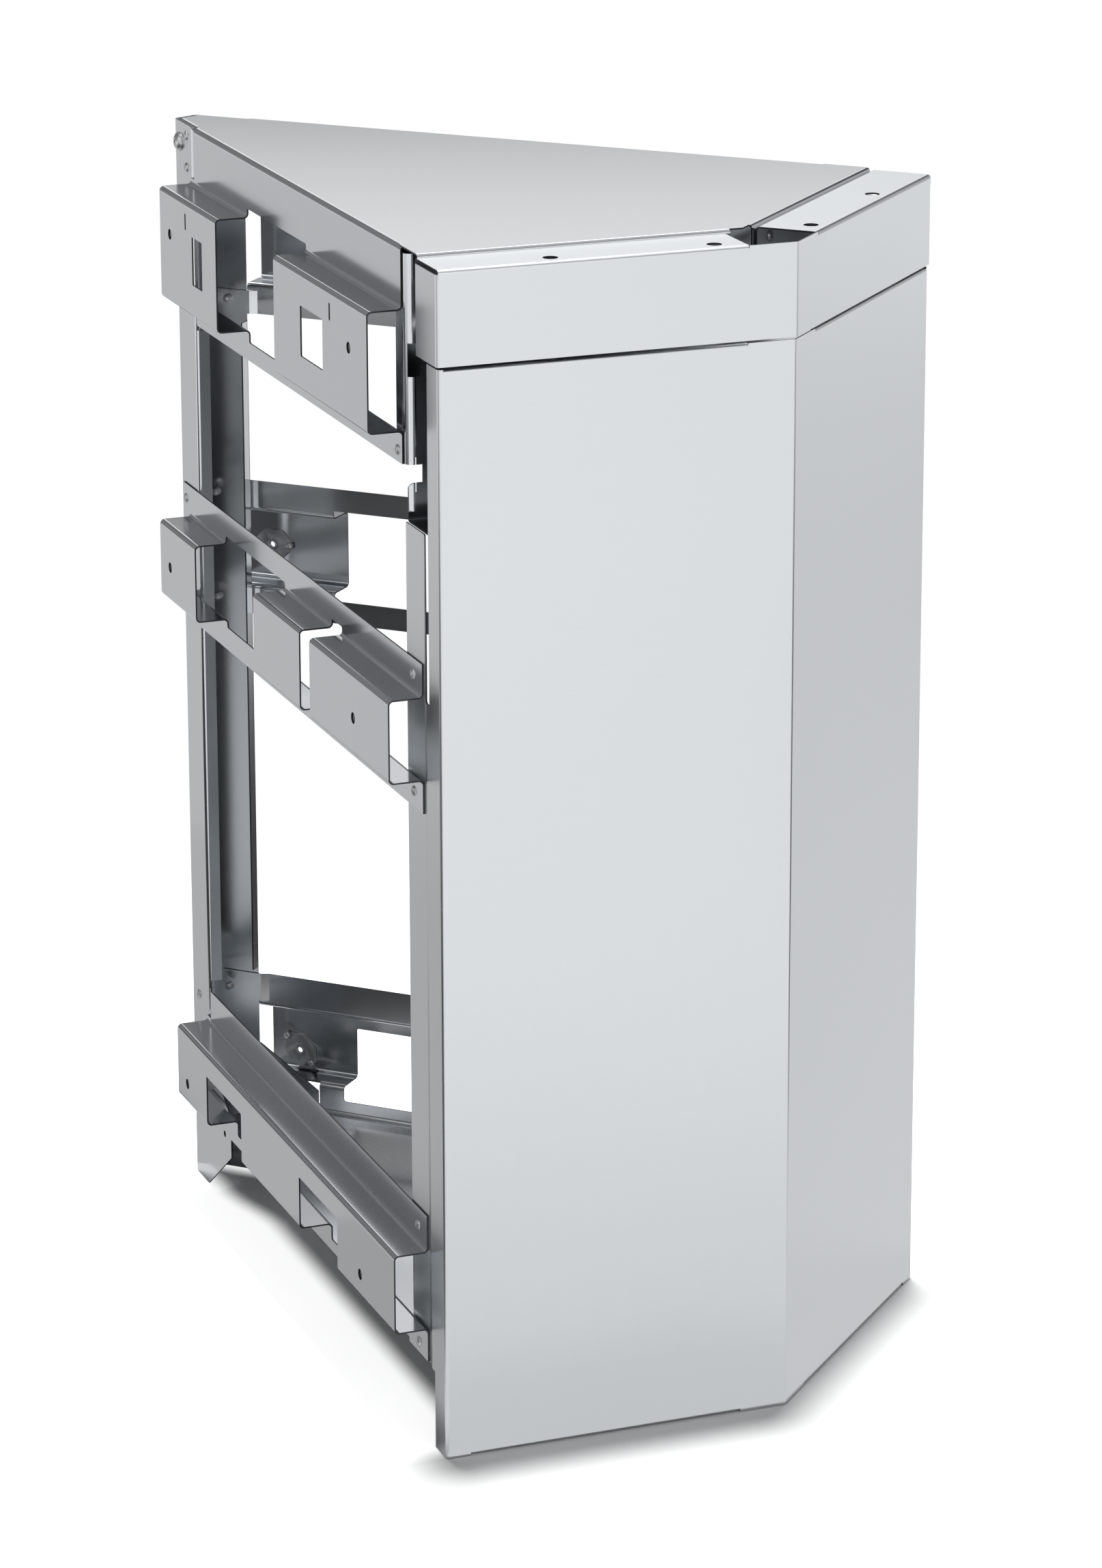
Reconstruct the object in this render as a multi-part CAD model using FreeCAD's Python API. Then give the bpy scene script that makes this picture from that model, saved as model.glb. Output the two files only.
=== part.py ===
import FreeCAD, Part
import math
import os

from FreeCAD import Placement, Rotation, Vector

# Corner cabinet of an outdoor kitchen, folded from stainless sheet, in millimetres and degrees.
# Seen from above it is a kite: two fronts folded across the corner, and two sides, each square to
# its own front, that run back to a common apex. The left half is drawn in side coordinates:
# s runs from the front face back along the side, o is outward from the side plane, z is up.
# The right half is the mirror image. The origin is on the floor, in the middle of the outer box.

# Overall
side_depth = 648.0          # front corner to the point where both side planes meet
run_turn = 45.0             # angle by which the cabinet turns a run of units
cabinet_height = 878.0

# Sheet, bends and clearances
sheet = 1.2
bend = 1.8                  # inner radius of a plain fold
rail_bend = 2.8             # inner radius of the rails', brackets' and flanges' folds
soft_bend = 6.0             # inner radius of the crossmember's rounded corners
joggle_bend = 4.0           # inner radius of the front panel's shallow steps
rest_gap = 0.3              # between sheets that lie close without touching
corner_relief = 6.0         # flanges stop this far short of a neighbouring fold
overlap = 4.0               # length over which a fold's straight runs on into the sheet it joins
cut_margin = 20.0           # cutters reach this far past what they cut

# Planes beside the side plane
flange_inset = 2.5          # outer face of the rail flanges, inside the side plane
hat_proud = 23.0            # outer face of brackets and rails, outside the side plane

# Front band
band_height = 67.7
band_step = 2.0             # ledge below the top sheet
band_gap = 2.0              # reveal between band and panel
ledge_depth = 47.0
ledge_stop = 37.0           # ledge ends this far short of the fold
ledge_side_gap = 1.6        # ledge clear of the side return
band_return = 42.0
band_rear_flange = 30.0
counter_hole = 11.0
counter_hole_setback = 13.4
counter_hole_near = 58.0    # from the fold
counter_hole_far = 180.0    # from the fold
band_screw_drop = 11.0      # below the ledge
band_screw_near = 61.0      # from the fold
band_screw_far = 215.0      # from the fold

# Front panel
panel_inset = 1.2           # panel faces inside the band's faces
return_flat = 30.0          # side return up to its step
return_step_run = 10.0      # length of the step
panel_leg_end = 77.0        # inner edge of the leg, from the front face
panel_leg_drop = 197.0      # top of the leg below the cabinet's top
return_width = 24.0         # side return above and below the leg
leg_slot_width = 12.0
leg_slot_depth = 120.0
panel_top_lip = 20.0
panel_fold_side = 5.0       # the top fold starts this far inside the side plane
panel_fold_strip = 9.0      # its depth beside the full flange
panel_bottom_flange = 25.0
panel_rivet_near = 90.0     # from the fold
panel_rivet_far = 200.0     # from the fold

# Front crossmember
cross_setback = 75.0        # its front face behind the cabinet's front
cross_tab = 22.0            # side tab behind the wall's face
cross_rear_lip = 26.0       # width of the box that the tab's corner is folded into
cross_shelf = 41.0
gusset_side = 5.0           # gusset edge inside the side plane
gusset_corner = 6.0
strip_side = 16.0           # narrow strip's edge inside the side plane
strip_height = 13.0         # narrow strip between the gusset and the rounded corner
cross_notch_side = 6.0
cross_notch_width = 11.0
cross_notch_drop = 93.0     # bottom of the notch below the cabinet's top
cross_notch_height = 24.0
cross_slit_side = 10.5
cross_slit_width = 1.0
cross_top_flange = 20.0
cross_flange_side = 20.0    # flanges start this far inside the side plane

# Top panel and upper brackets
top_lip = 28.0
top_flange = 45.0           # top sheet down to the bracket ledge
upper_face = 88.0
upper_skirt = 23.0          # flange below the brackets
upper_front = 80.0          # front end of the side flange
upper_past = 1.0            # brackets end this far behind the post's free edge
top_edge_inset = 3.5        # free side edge of the top sheet in front of the flange
front_bracket = 207.0
rear_bracket = 142.0
bracket_cut_above = 6.5     # opening between the brackets runs past the upper ledge
bracket_cut_below = 9.0     # and past the lower ledge
upper_hole_drop = 33.5      # mounting hole below the upper ledge
window_offset = 57.0        # mounting hole to the near edge of the window
window_drop = 24.8
window_height = 37.5
front_window = 50.0
rear_window = 25.3
key_slot_offset = 41.0      # mounting hole to the key slot
key_slot_drop = 9.5
key_slot_length = 13.0
key_slot_width = 3.0

# Middle rails
middle_height = 531.0       # middle of the rail's face
middle_face = 62.0
middle_flange = 24.0
middle_hole_drop = 2.5      # mounting hole below the middle of the face
rail_front = 43.0           # front end of the rails
front_tab = 173.5
tab_gap = 23.7
middle_tab = 109.0
rear_tab = 91.0
rear_tab_past = 19.0        # rear tab ends this far behind the post's free edge
tab_cut = 6.0               # gaps between the tabs run past the ledges
rail_web_gap = 6.0          # rail stops short of the post's web

# Bottom panel and lower rails
floor_height = 59.0         # underside of the floor
lower_web = 24.5            # floor up to the lower ledge
lower_past = 2.0            # lower rails end this far behind the post's free edge
lower_face = 61.0
lower_flange = 27.5
lower_hole_rise = 18.0      # mounting hole above the lower ledge
notch_offset = 51.5         # mounting hole to the near edge of the notch
notch_width = 90.0
notch_height = 42.5
notch_below = 12.0          # notch runs down past the lower ledge
floor_side = 8.0            # floor edge inside the side plane, beside the front legs
floor_front_lip = 25.0

# Mounting holes in brackets and rails
mount_hole = 8.5
front_hole = 119.0          # from the front face
rear_hole_setback = 25.0    # from the rear end of the face

# Apex post
post_web = 20.7
post_leg = 44.0
post_lip = 10.0
post_top_drop = 1.0
post_top_corner = 5.0
foot_reach = 52.0           # flare in front of the leg's free edge
foot_clearance = 0.5        # rail web stops this far in front of the flare
foot_flat = 33.0            # length of each leg's ground edge
foot_rise = 44.5
foot_top = 78.0
foot_shoulder = 112.0
foot_hole = 5.5
foot_hole_reach = 35.5
foot_hole_height = 59.4
tab_step = 6.0              # length over which a flange steps in behind the post
tab_lead = 2.0              # the step ends this far in front of the post
tab_relief = 4.5            # stepped flanges stay this far clear of the ledges
tab_reach = 33.0            # skirt and lower flange run on this far behind the post's free edge

# Places of the fasteners
upper_rivet_in = 9.6        # from the front end of the side flange
upper_rivet_rise = 8.6      # from the lower edge of the skirt
rail_rivet_in = 19.0        # from the front end of the rails
rail_rivet_back = 7.0       # from the rear end of the rails
post_rivet_in = 15.0        # upper pair, from the post's free edge
post_rivet_high = 9.0       # below the post's top
post_rivet_low = 34.0       # below the post's top
skirt_rivet_in = 17.0       # from the post's free edge
lower_post_rivet_in = 27.0  # from the post's free edge
apex_screw_in = 33.0        # from the post's free edge
apex_screw_drop = 16.5      # below the post's top

# Fasteners
rivet_head = 8.0
rivet_rise = 1.6
rivet_shank = 4.0
rivet_tail = 6.0
rivet_tail_length = 4.0
rivet_bore = 1.8
mandrel_seat = 0.3          # height of the mandrel stub as a share of the head's rise
rivet_clearance = 0.1
screw_head = 15.0
screw_rise = 4.2
screw_shank = 6.0
screw_length = 14.0
screw_clearance = 0.2
nut_across = 10.0
nut_height = 5.0
band_screw_head = 8.0
band_screw_rise = 2.6
band_screw_shank = 4.0
band_screw_length = 9.0
cross_recess = 0.42         # recess span as a share of the head

# Floating nut plates
plate_length = 33.0
plate_width = 23.0
plate_chamfer = 8.5
plate_thickness = 2.0
plate_bore = 5.0
plate_float = 0.8           # slide each way along the plate
plate_play = 0.15           # between plate, face and pin heads
pin_spacing = 30.0
pin_shank = 3.2
pin_head = 6.4
pin_rise = 2.0
pin_slot_play = 0.6
lower_plate_tilt = 45.0

# Worked out from the values above
half_turn = math.radians(run_turn / 2)
front_width = side_depth * math.tan(half_turn)
bend_outer = bend + sheet
rail_bend_outer = rail_bend + sheet
flange_o = -flange_inset
leg_o = flange_o - sheet
tab_o = leg_o - sheet
band_top = cabinet_height - band_step
band_bottom = band_top - band_height
panel_top = band_bottom - band_gap
apex_at_leg = side_depth + leg_o / math.tan(half_turn)
web_corner = apex_at_leg - post_web / 2 / math.sin(half_turn)
leg_free = web_corner - post_leg
post_top = cabinet_height - post_top_drop
upper_ledge = cabinet_height - top_flange
upper_under = upper_ledge - upper_face
upper_end = leg_free + upper_past
panel_leg_top = cabinet_height - panel_leg_drop
cross_corner_bottom = upper_under - upper_skirt
cross_notch_bottom = cabinet_height - cross_notch_drop
middle_ledge = middle_height + middle_face / 2
middle_under = middle_height - middle_face / 2
middle_end = leg_free + rear_tab_past
lower_under = floor_height + lower_web
lower_ledge = lower_under + lower_face
lower_end = leg_free + lower_past
upper_hole_z = upper_ledge - upper_hole_drop
middle_hole_z = middle_height - middle_hole_drop
lower_hole_z = lower_under + lower_hole_rise
hat_inner = hat_proud - sheet
flange_end = leg_free - tab_lead - tab_step
tab_inset = tab_o - flange_o
sheet_end = web_corner - rail_web_gap
tab_end = leg_free + tab_reach
top_lip_s = ledge_depth + rest_gap
shelf_top = panel_leg_top + rest_gap + sheet

corner_x = -front_width * math.cos(half_turn)
corner_y = front_width * math.sin(half_turn)
side_angle = 90 - math.degrees(half_turn)
apex_back = corner_y + web_corner * math.cos(half_turn) + leg_o * math.sin(half_turn)
fold_back = bend_outer * (1 / math.cos(half_turn) - 1)
centre_y = (apex_back + fold_back) / 2
UP = Vector(0, 0, 1)


def plan(s, o):
    """Point of the plan, left half, from side coordinates."""
    x = corner_x + s * math.sin(half_turn) - o * math.cos(half_turn)
    y = corner_y + s * math.cos(half_turn) + o * math.sin(half_turn)
    return x, y - centre_y


def fold_point(s):
    """Point on the middle plane at a given distance behind the fronts."""
    return plan(s, -fold_run(s))


def fold_run(s):
    """Length of a front, from the side plane to the middle plane, at a given distance behind it."""
    return front_width - s * math.tan(half_turn)


def across(points):
    """A left chain of plan points, carried on over the middle plane to its mirror image."""
    right = [(-x, y) for x, y in points if abs(x) > 1e-6]
    return points + right[::-1]


def from_side(shape):
    """Puts a shape drawn in side coordinates in its place on the left."""
    placed = shape.copy()
    placed.rotate(Vector(0, 0, 0), UP, side_angle)
    placed.translate(Vector(corner_x, corner_y - centre_y, 0))
    return placed


def mirrored(shape):
    """The right-hand twin of a left-hand shape."""
    return shape.mirror(Vector(0, 0, 0), Vector(1, 0, 0))


def both_sides(shape):
    """A shape drawn in side coordinates, on the left and on the right."""
    left = from_side(shape)
    return [left, mirrored(left)]


def joined(shapes):
    """One solid from overlapping or touching shapes."""
    whole = shapes[0].multiFuse(shapes[1:])
    return whole.removeSplitter()


def sheet_face_run(points, radii, side, depth):
    """One face of a folded sheet as lines and arcs, at a depth under the reference face."""
    runs = []
    cursor = None
    for index, point in enumerate(points):
        here = Vector(point[0], point[1], 0)
        if index == 0:
            ahead = (Vector(*points[1], 0) - here).normalize()
            cursor = here + left_of(ahead) * (side * depth)
            continue
        behind = (here - Vector(*points[index - 1], 0)).normalize()
        if index == len(points) - 1:
            runs.append([cursor, here + left_of(behind) * (side * depth)])
            continue
        ahead = (Vector(*points[index + 1], 0) - here).normalize()
        turn = math.atan2(behind.cross(ahead).z, behind.dot(ahead))
        outside = turn * side > 0
        inner = radii[index - 1]
        radius = inner + sheet if outside else inner
        tangent = radius * math.tan(abs(turn) / 2)
        hand = 1 if turn > 0 else -1
        start = here - behind * tangent
        end = here + ahead * tangent
        centre = start + left_of(behind) * (hand * radius)
        depth_radius = radius - depth if outside else radius + depth
        middle = centre + (here - centre).normalize() * depth_radius
        start = start + left_of(behind) * (side * depth)
        end = end + left_of(ahead) * (side * depth)
        runs.append([cursor, start])
        runs.append([start, middle, end])
        cursor = end
    return runs


def left_of(direction):
    """Unit vector to the left of a direction in the drawing plane."""
    return Vector(-direction.y, direction.x, 0)


def folded_section(points, side, lift, radii=None):
    """Closed section of a folded sheet whose outer face follows the points."""
    if radii is None:
        radii = [bend] * (len(points) - 2)
    outer = sheet_face_run(points, radii, side, 0.0)
    inner = [run[::-1] for run in sheet_face_run(points, radii, side, sheet)[::-1]]
    start_cap = [inner[-1][-1], outer[0][0]]
    end_cap = [outer[-1][-1], inner[0][0]]
    edges = []
    for run in outer + [end_cap] + inner + [start_cap]:
        lifted = [lift(point.x, point.y) for point in run]
        if len(run) == 3:
            edges.append(Part.Arc(*lifted).toShape())
        else:
            edges.append(Part.LineSegment(*lifted).toShape())
    return Part.Face(Part.Wire(edges))


def wall(points, side, low, high, radii=None):
    """Upright folded sheet along a plan line."""
    section = folded_section(points, side, lambda x, y: Vector(x, y, low), radii)
    return section.extrude(Vector(0, 0, high - low))


def side_fold(points, start, end):
    """Folded sheet with a section in o and z, run along the side from start to end."""
    section = folded_section(points, -1, lambda o, z: Vector(start, o, z), [rail_bend] * (len(points) - 2))
    return section.extrude(Vector(end - start, 0, 0))


def front_fold(points, side, start, end):
    """Folded sheet with a section in s and z, run along the front from start to end."""
    section = folded_section(points, side, lambda s, z: Vector(s, -start, z))
    return section.extrude(Vector(0, start - end, 0))


def stepped_flange(points, end):
    """Flange with a section in o and z that steps in from its plane to lie behind the post's leg."""
    radii = [rail_bend] * (len(points) - 2)
    section = folded_section(points, -1, lambda o, z: Vector(flange_end, o, z), radii)
    step = section.extrude(Vector(tab_step, tab_inset, 0))
    behind = side_fold([(o + tab_inset, z) for o, z in points], flange_end + tab_step, end)
    return step.fuse(behind)


def plate(points, low, high):
    """Flat sheet from a plan outline."""
    corners = [Vector(x, y, low) for x, y in points]
    return Part.Face(Part.makePolygon(corners + corners[:1])).extrude(Vector(0, 0, high - low))


def side_plate(points, inner, outer):
    """Flat sheet from an outline in s and z, between two distances from the side plane."""
    corners = [Vector(s, inner, z) for s, z in points]
    return Part.Face(Part.makePolygon(corners + corners[:1])).extrude(Vector(0, outer - inner, 0))


def block(s, o, z):
    """Box between pairs of side coordinates."""
    return Part.makeBox(s[1] - s[0], o[1] - o[0], z[1] - z[0], Vector(s[0], o[0], z[0]))


def side_opening(s, z, radius, o=(-cut_margin, hat_proud + cut_margin)):
    """Cutter for a rectangular opening with rounded corners, through the side."""
    cutter = block(s, o, z)
    upright = [edge for edge in cutter.Edges if abs(edge.tangentAt(edge.FirstParameter).y) > 0.99]
    return cutter.makeFillet(radius, upright)


def side_bore(s, z, diameter, o=(-cut_margin, hat_proud + cut_margin)):
    """Cutter for a round hole through the side."""
    return Part.makeCylinder(diameter / 2, o[1] - o[0], Vector(s, o[0], z), Vector(0, 1, 0))


def front_bore(s, run, z, diameter, length):
    """Cutter for a round hole through an upright wall behind the front."""
    return Part.makeCylinder(diameter / 2, 2 * length, Vector(s - length, -run, z), Vector(1, 0, 0))


def hat_section(top, ledge, under, foot):
    """Section of a hat rail from its upper edge to its lower edge."""
    return [
        (flange_o, top),
        (flange_o, ledge),
        (hat_proud, ledge),
        (hat_proud, under),
        (flange_o, under),
        (flange_o, foot),
    ]


# Places where the sheets are fastened: s, z and the outer face under the rivet's head
rivet_spots = {
    "top": [
        (upper_front + upper_rivet_in, upper_under - upper_skirt + upper_rivet_rise, flange_o),
        (leg_free + post_rivet_in, post_top - post_rivet_high, leg_o),
        (leg_free + post_rivet_in, post_top - post_rivet_low, leg_o),
        (leg_free + skirt_rivet_in, upper_under - upper_skirt / 2, leg_o),
    ],
    "middle": [
        (rail_front + rail_rivet_in, middle_ledge + middle_flange / 2, flange_o),
        (rail_front + rail_rivet_in, middle_under - middle_flange / 2, flange_o),
        (sheet_end - rail_rivet_back, middle_ledge + middle_flange / 2, flange_o),
        (sheet_end - rail_rivet_back, middle_under - middle_flange / 2, flange_o),
    ],
    "bottom": [
        (rail_front + rail_rivet_in, lower_ledge + lower_flange / 2, flange_o),
        (rail_front + rail_rivet_in, floor_height + lower_web / 3, flange_o),
        (leg_free + lower_post_rivet_in, lower_ledge + lower_flange / 2, leg_o),
    ],
}
apex_screw_spot = (leg_free + apex_screw_in, post_top - apex_screw_drop)
rivet_hole = rivet_shank + 2 * rivet_clearance
grip = 2 * sheet


def rivet_holes():
    """Cutters for every rivet of the left side."""
    return [side_bore(s, z, rivet_hole, (o - 3 * sheet, o + sheet)) for spots in rivet_spots.values()
            for s, z, o in spots]


def apex_screw_hole():
    """Cutter for the screw at the top of the post."""
    s, z = apex_screw_spot
    return side_bore(s, z, screw_shank + 2 * screw_clearance, (tab_o - 2 * sheet, leg_o + sheet))


def band_screw_runs():
    """Distances of the band screws from the left side plane."""
    return [front_width - band_screw_near, front_width - band_screw_far]


def band_screw_holes():
    """Cutters for the band screws."""
    size = band_screw_shank + 2 * screw_clearance
    return [front_bore(ledge_depth, run, band_top - band_screw_drop, size, 3 * sheet)
            for run in band_screw_runs()]


def panel_rivet_places():
    """Distance from the left side plane and height of the rivets behind the band."""
    height = panel_top - panel_top_lip / 2
    return [(front_width - panel_rivet_near, height), (front_width - panel_rivet_far, height)]


def panel_rivet_holes():
    """Cutters for the rivets between the panel's top lip and the crossmember."""
    return [front_bore(cross_setback, run, z, rivet_hole, 3 * sheet) for run, z in panel_rivet_places()]


def make_top_panel():
    """Top sheet with its front lips, side flanges, brackets and the tabs behind the post."""
    edge = flange_o - rail_bend_outer
    outline = across([
        plan(top_lip_s + bend_outer, -top_edge_inset),
        plan(upper_front + overlap, -top_edge_inset),
        plan(upper_front + overlap, edge),
        plan(flange_end, edge),
        plan(flange_end + tab_step, edge + tab_inset),
        plan(sheet_end, edge + tab_inset),
    ])
    outline.append(fold_point(top_lip_s + bend_outer))
    flat = plate(outline, cabinet_height - sheet, cabinet_height)

    section = [(edge - overlap, cabinet_height)]
    section += hat_section(cabinet_height, upper_ledge, upper_under, upper_under - upper_skirt)
    side = side_fold(section, upper_front, upper_end)
    front_end = upper_front + front_bracket
    rear_start = upper_end - rear_bracket
    opening = (upper_under - bracket_cut_below, upper_ledge + bracket_cut_above)
    stepped = (flange_end, upper_end + cut_margin)
    flange_low = upper_ledge + tab_relief
    skirt_high = upper_under - tab_relief
    skirt_low = upper_under - upper_skirt
    cutters = [
        side_opening((front_end, rear_start), opening, bend),
        block(stepped, (-cut_margin, 0), (flange_low, cabinet_height + cut_margin)),
        block(stepped, (-cut_margin, 0), (skirt_low - cut_margin, skirt_high)),
    ]
    rear_hole = upper_end - rear_hole_setback
    window = (upper_ledge - window_drop - window_height, upper_ledge - window_drop)
    slot = (upper_ledge - key_slot_drop - key_slot_length, upper_ledge - key_slot_drop)
    near_front = front_hole + window_offset
    near_rear = rear_hole - window_offset
    cutters.append(side_opening((near_front, near_front + front_window), window, sheet))
    cutters.append(side_opening((near_rear - rear_window, near_rear), window, sheet))
    for centre in (front_hole + key_slot_offset, rear_hole - key_slot_offset):
        span = (centre - key_slot_width / 2, centre + key_slot_width / 2)
        cutters.append(side_opening(span, slot, key_slot_width * 0.45))
    for centre in (front_hole, rear_hole):
        cutters.append(side_bore(centre, upper_hole_z, mount_hole))
    side = side.cut(cutters)

    flange = stepped_flange(section[:2] + [(flange_o, flange_low)], sheet_end)
    skirt = stepped_flange([(flange_o, skirt_high), (flange_o, skirt_low)], tab_end)
    side = joined([side, flange, skirt]).cut(rivet_holes() + [apex_screw_hole()])

    lip_points = [
        (top_lip_s + bend_outer + overlap, cabinet_height),
        (top_lip_s, cabinet_height),
        (top_lip_s, cabinet_height - top_lip),
    ]
    lip = front_fold(lip_points, 1, top_edge_inset, fold_run(top_lip_s) - 2 * corner_relief)
    lip = lip.cut(band_screw_holes())
    return joined([flat] + both_sides(side) + both_sides(lip))


def make_front_band():
    """Spacer band with its ledges, rear flanges and side returns."""
    fold_top = band_top - bend_outer
    line = across([plan(band_return, 0), plan(0, 0), fold_point(0)])
    face = wall(line, 1, band_bottom, fold_top)
    ledge_end = front_width - ledge_stop
    crest = wall(line, 1, fold_top, band_top)
    gap = block((-cut_margin, bend_outer), (-front_width - cut_margin, -ledge_end), (fold_top, band_top))
    crest = crest.common(joined(both_sides(gap)))
    ledge_points = [
        (0, fold_top - overlap),
        (0, band_top),
        (ledge_depth, band_top),
        (ledge_depth, band_top - band_rear_flange),
    ]
    ledge = front_fold(ledge_points, -1, ledge_side_gap, ledge_end)
    for distance in (counter_hole_near, counter_hole_far):
        place = Vector(counter_hole_setback, distance - front_width, fold_top)
        ledge = ledge.cut(Part.makeCylinder(counter_hole / 2, cut_margin, place, UP))
    ledge = ledge.cut(band_screw_holes())
    return joined([face, crest] + both_sides(ledge))


def make_front_panel():
    """Tall folded front with stepped side returns and inner flanges."""
    side_o = -panel_inset
    line = across([
        plan(panel_leg_end, leg_o),
        plan(return_flat + return_step_run, leg_o),
        plan(return_flat, side_o),
        plan(panel_inset, side_o),
        fold_point(panel_inset),
    ])
    radii = [joggle_bend, joggle_bend, bend, bend, bend, joggle_bend, joggle_bend]
    face = wall(line, 1, bend_outer, panel_top - bend_outer, radii)
    low_ends = wall(line, 1, 0, bend_outer, radii)
    high_ends = wall(line, 1, panel_top - bend_outer, panel_top, radii)
    run_start = cross_flange_side
    run_end = fold_run(cross_setback) - corner_relief
    depths = (-cut_margin, cut_margin)
    behind_low = block(depths, (-run_end, -run_start), (-cut_margin, floor_height))
    behind_high = block(depths, (-run_end, -panel_fold_side), (floor_height, cabinet_height))
    ends = joined([low_ends, high_ends, face]).cut(both_sides(behind_low) + both_sides(behind_high))
    face = face.fuse(ends)
    depth = cross_setback - rest_gap
    top_points = [
        (panel_inset, panel_top - bend_outer - overlap),
        (panel_inset, panel_top),
        (depth, panel_top),
        (depth, panel_top - panel_top_lip),
    ]
    strip_points = [
        (panel_inset, panel_top - bend_outer - overlap),
        (panel_inset, panel_top),
        (panel_inset + panel_fold_strip, panel_top),
    ]
    strip = front_fold(strip_points, -1, panel_fold_side, run_start + overlap)
    top = joined([front_fold(top_points, -1, run_start, run_end), strip]).cut(panel_rivet_holes())
    bottom_points = [
        (panel_inset, bend_outer + overlap),
        (panel_inset, 0),
        (panel_inset + panel_bottom_flange, 0),
    ]
    bottom = front_fold(bottom_points, 1, run_start, run_end)
    above_leg = block((return_width, panel_leg_end + cut_margin), (-cut_margin, 0),
                      (panel_leg_top, cabinet_height))
    below_leg = block((return_width, panel_leg_end + cut_margin), (-cut_margin, 0),
                      (-cut_margin, floor_height))
    slot_span = (return_width, return_width + leg_slot_width)
    slot = block(slot_span, (-cut_margin, 0), (panel_leg_top - leg_slot_depth, cabinet_height))
    cutters = []
    for cutter in [above_leg, below_leg, slot] + rivet_holes():
        cutters += both_sides(cutter)
    return joined([face.cut(cutters)] + both_sides(top) + both_sides(bottom))


def gusset_cutter():
    """Cutter that leaves the narrow strip and the round-cornered gusset below the crossmember."""
    gusset_top = cross_corner_bottom - strip_height
    low = shelf_top - cut_margin
    arc_middle = gusset_corner * (1 - math.sqrt(0.5))
    start = cross_setback - cut_margin

    def at(side, z):
        return Vector(start, -side, z)

    edge = [
        Part.makePolygon([
            at(gusset_side + gusset_corner, gusset_top),
            at(strip_side, gusset_top),
            at(strip_side, cross_corner_bottom),
            at(-cut_margin, cross_corner_bottom),
            at(-cut_margin, low),
            at(gusset_side, low),
            at(gusset_side, gusset_top - gusset_corner),
        ]),
        Part.Arc(
            at(gusset_side, gusset_top - gusset_corner),
            at(gusset_side + arc_middle, gusset_top - arc_middle),
            at(gusset_side + gusset_corner, gusset_top),
        ).toShape(),
    ]
    outline = Part.Wire(edge[0].Edges + [edge[1]])
    return Part.Face(outline).extrude(Vector(cross_tab + 2 * cut_margin, 0, 0))


def make_front_crossmember():
    """Folded wall behind the band, with side tabs, notch, gussets and a forward shelf."""
    tab_top = cabinet_height - bend_outer - 2 * sheet
    tab_back = cross_setback + cross_tab
    return_front = cross_setback + 2 * sheet
    line = across([
        plan(return_front + rest_gap, leg_o - cross_rear_lip),
        plan(tab_back, leg_o - cross_rear_lip),
        plan(tab_back, leg_o),
        plan(cross_setback, leg_o),
        fold_point(cross_setback),
    ])
    radii = [bend, bend, soft_bend, bend, soft_bend, bend, bend]
    face = wall(line, 1, shelf_top + bend, tab_top, radii)
    below_lip = block((return_front, tab_back + cut_margin),
                      (-cross_rear_lip - cut_margin, 0), (shelf_top, cross_corner_bottom))
    notch_z = (cross_notch_bottom, cross_notch_bottom + cross_notch_height)
    reach = (cross_setback - cut_margin, cross_setback + cut_margin)
    notch = block(reach, (-cross_notch_side - cross_notch_width, -cross_notch_side), notch_z)
    slit = block(reach, (-cross_slit_side - cross_slit_width, -cross_slit_side),
                 (cross_corner_bottom - cut_margin, cross_notch_bottom))
    run_end = fold_run(cross_setback + cross_top_flange) - corner_relief
    shelf_points = [
        (cross_setback, shelf_top + bend + overlap),
        (cross_setback, shelf_top),
        (cross_setback - cross_shelf, shelf_top),
    ]
    shelf = front_fold(shelf_points, 1, gusset_side, run_end)
    flange_top = cabinet_height - sheet - rest_gap
    flange_points = [
        (cross_setback, tab_top - overlap),
        (cross_setback, flange_top),
        (cross_setback + cross_top_flange, flange_top),
    ]
    flange = front_fold(flange_points, -1, cross_flange_side, run_end)
    cutters = []
    for cutter in [notch, slit, below_lip, gusset_cutter()] + rivet_holes() + panel_rivet_holes():
        cutters += both_sides(cutter)
    return joined([face.cut(cutters)] + both_sides(shelf) + both_sides(flange))


def make_middle_rail():
    """Left middle rail with its three tabs."""
    section = hat_section(
        middle_ledge + middle_flange, middle_ledge, middle_under, middle_under - middle_flange)
    rail = side_fold(section, rail_front, sheet_end)
    first_end = rail_front + front_tab
    second_start = first_end + tab_gap
    second_end = second_start + middle_tab
    third_start = middle_end - rear_tab
    gap_z = (middle_under - tab_cut, middle_ledge + tab_cut)
    cutters = [
        side_opening((first_end, second_start), gap_z, bend),
        side_opening((second_end, third_start), gap_z, bend),
        side_opening((middle_end, sheet_end + cut_margin), gap_z, bend),
        side_bore(front_hole, middle_hole_z, mount_hole),
        side_bore(middle_end - rear_hole_setback, middle_hole_z, mount_hole),
    ]
    return rail.cut(cutters + rivet_holes())


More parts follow.
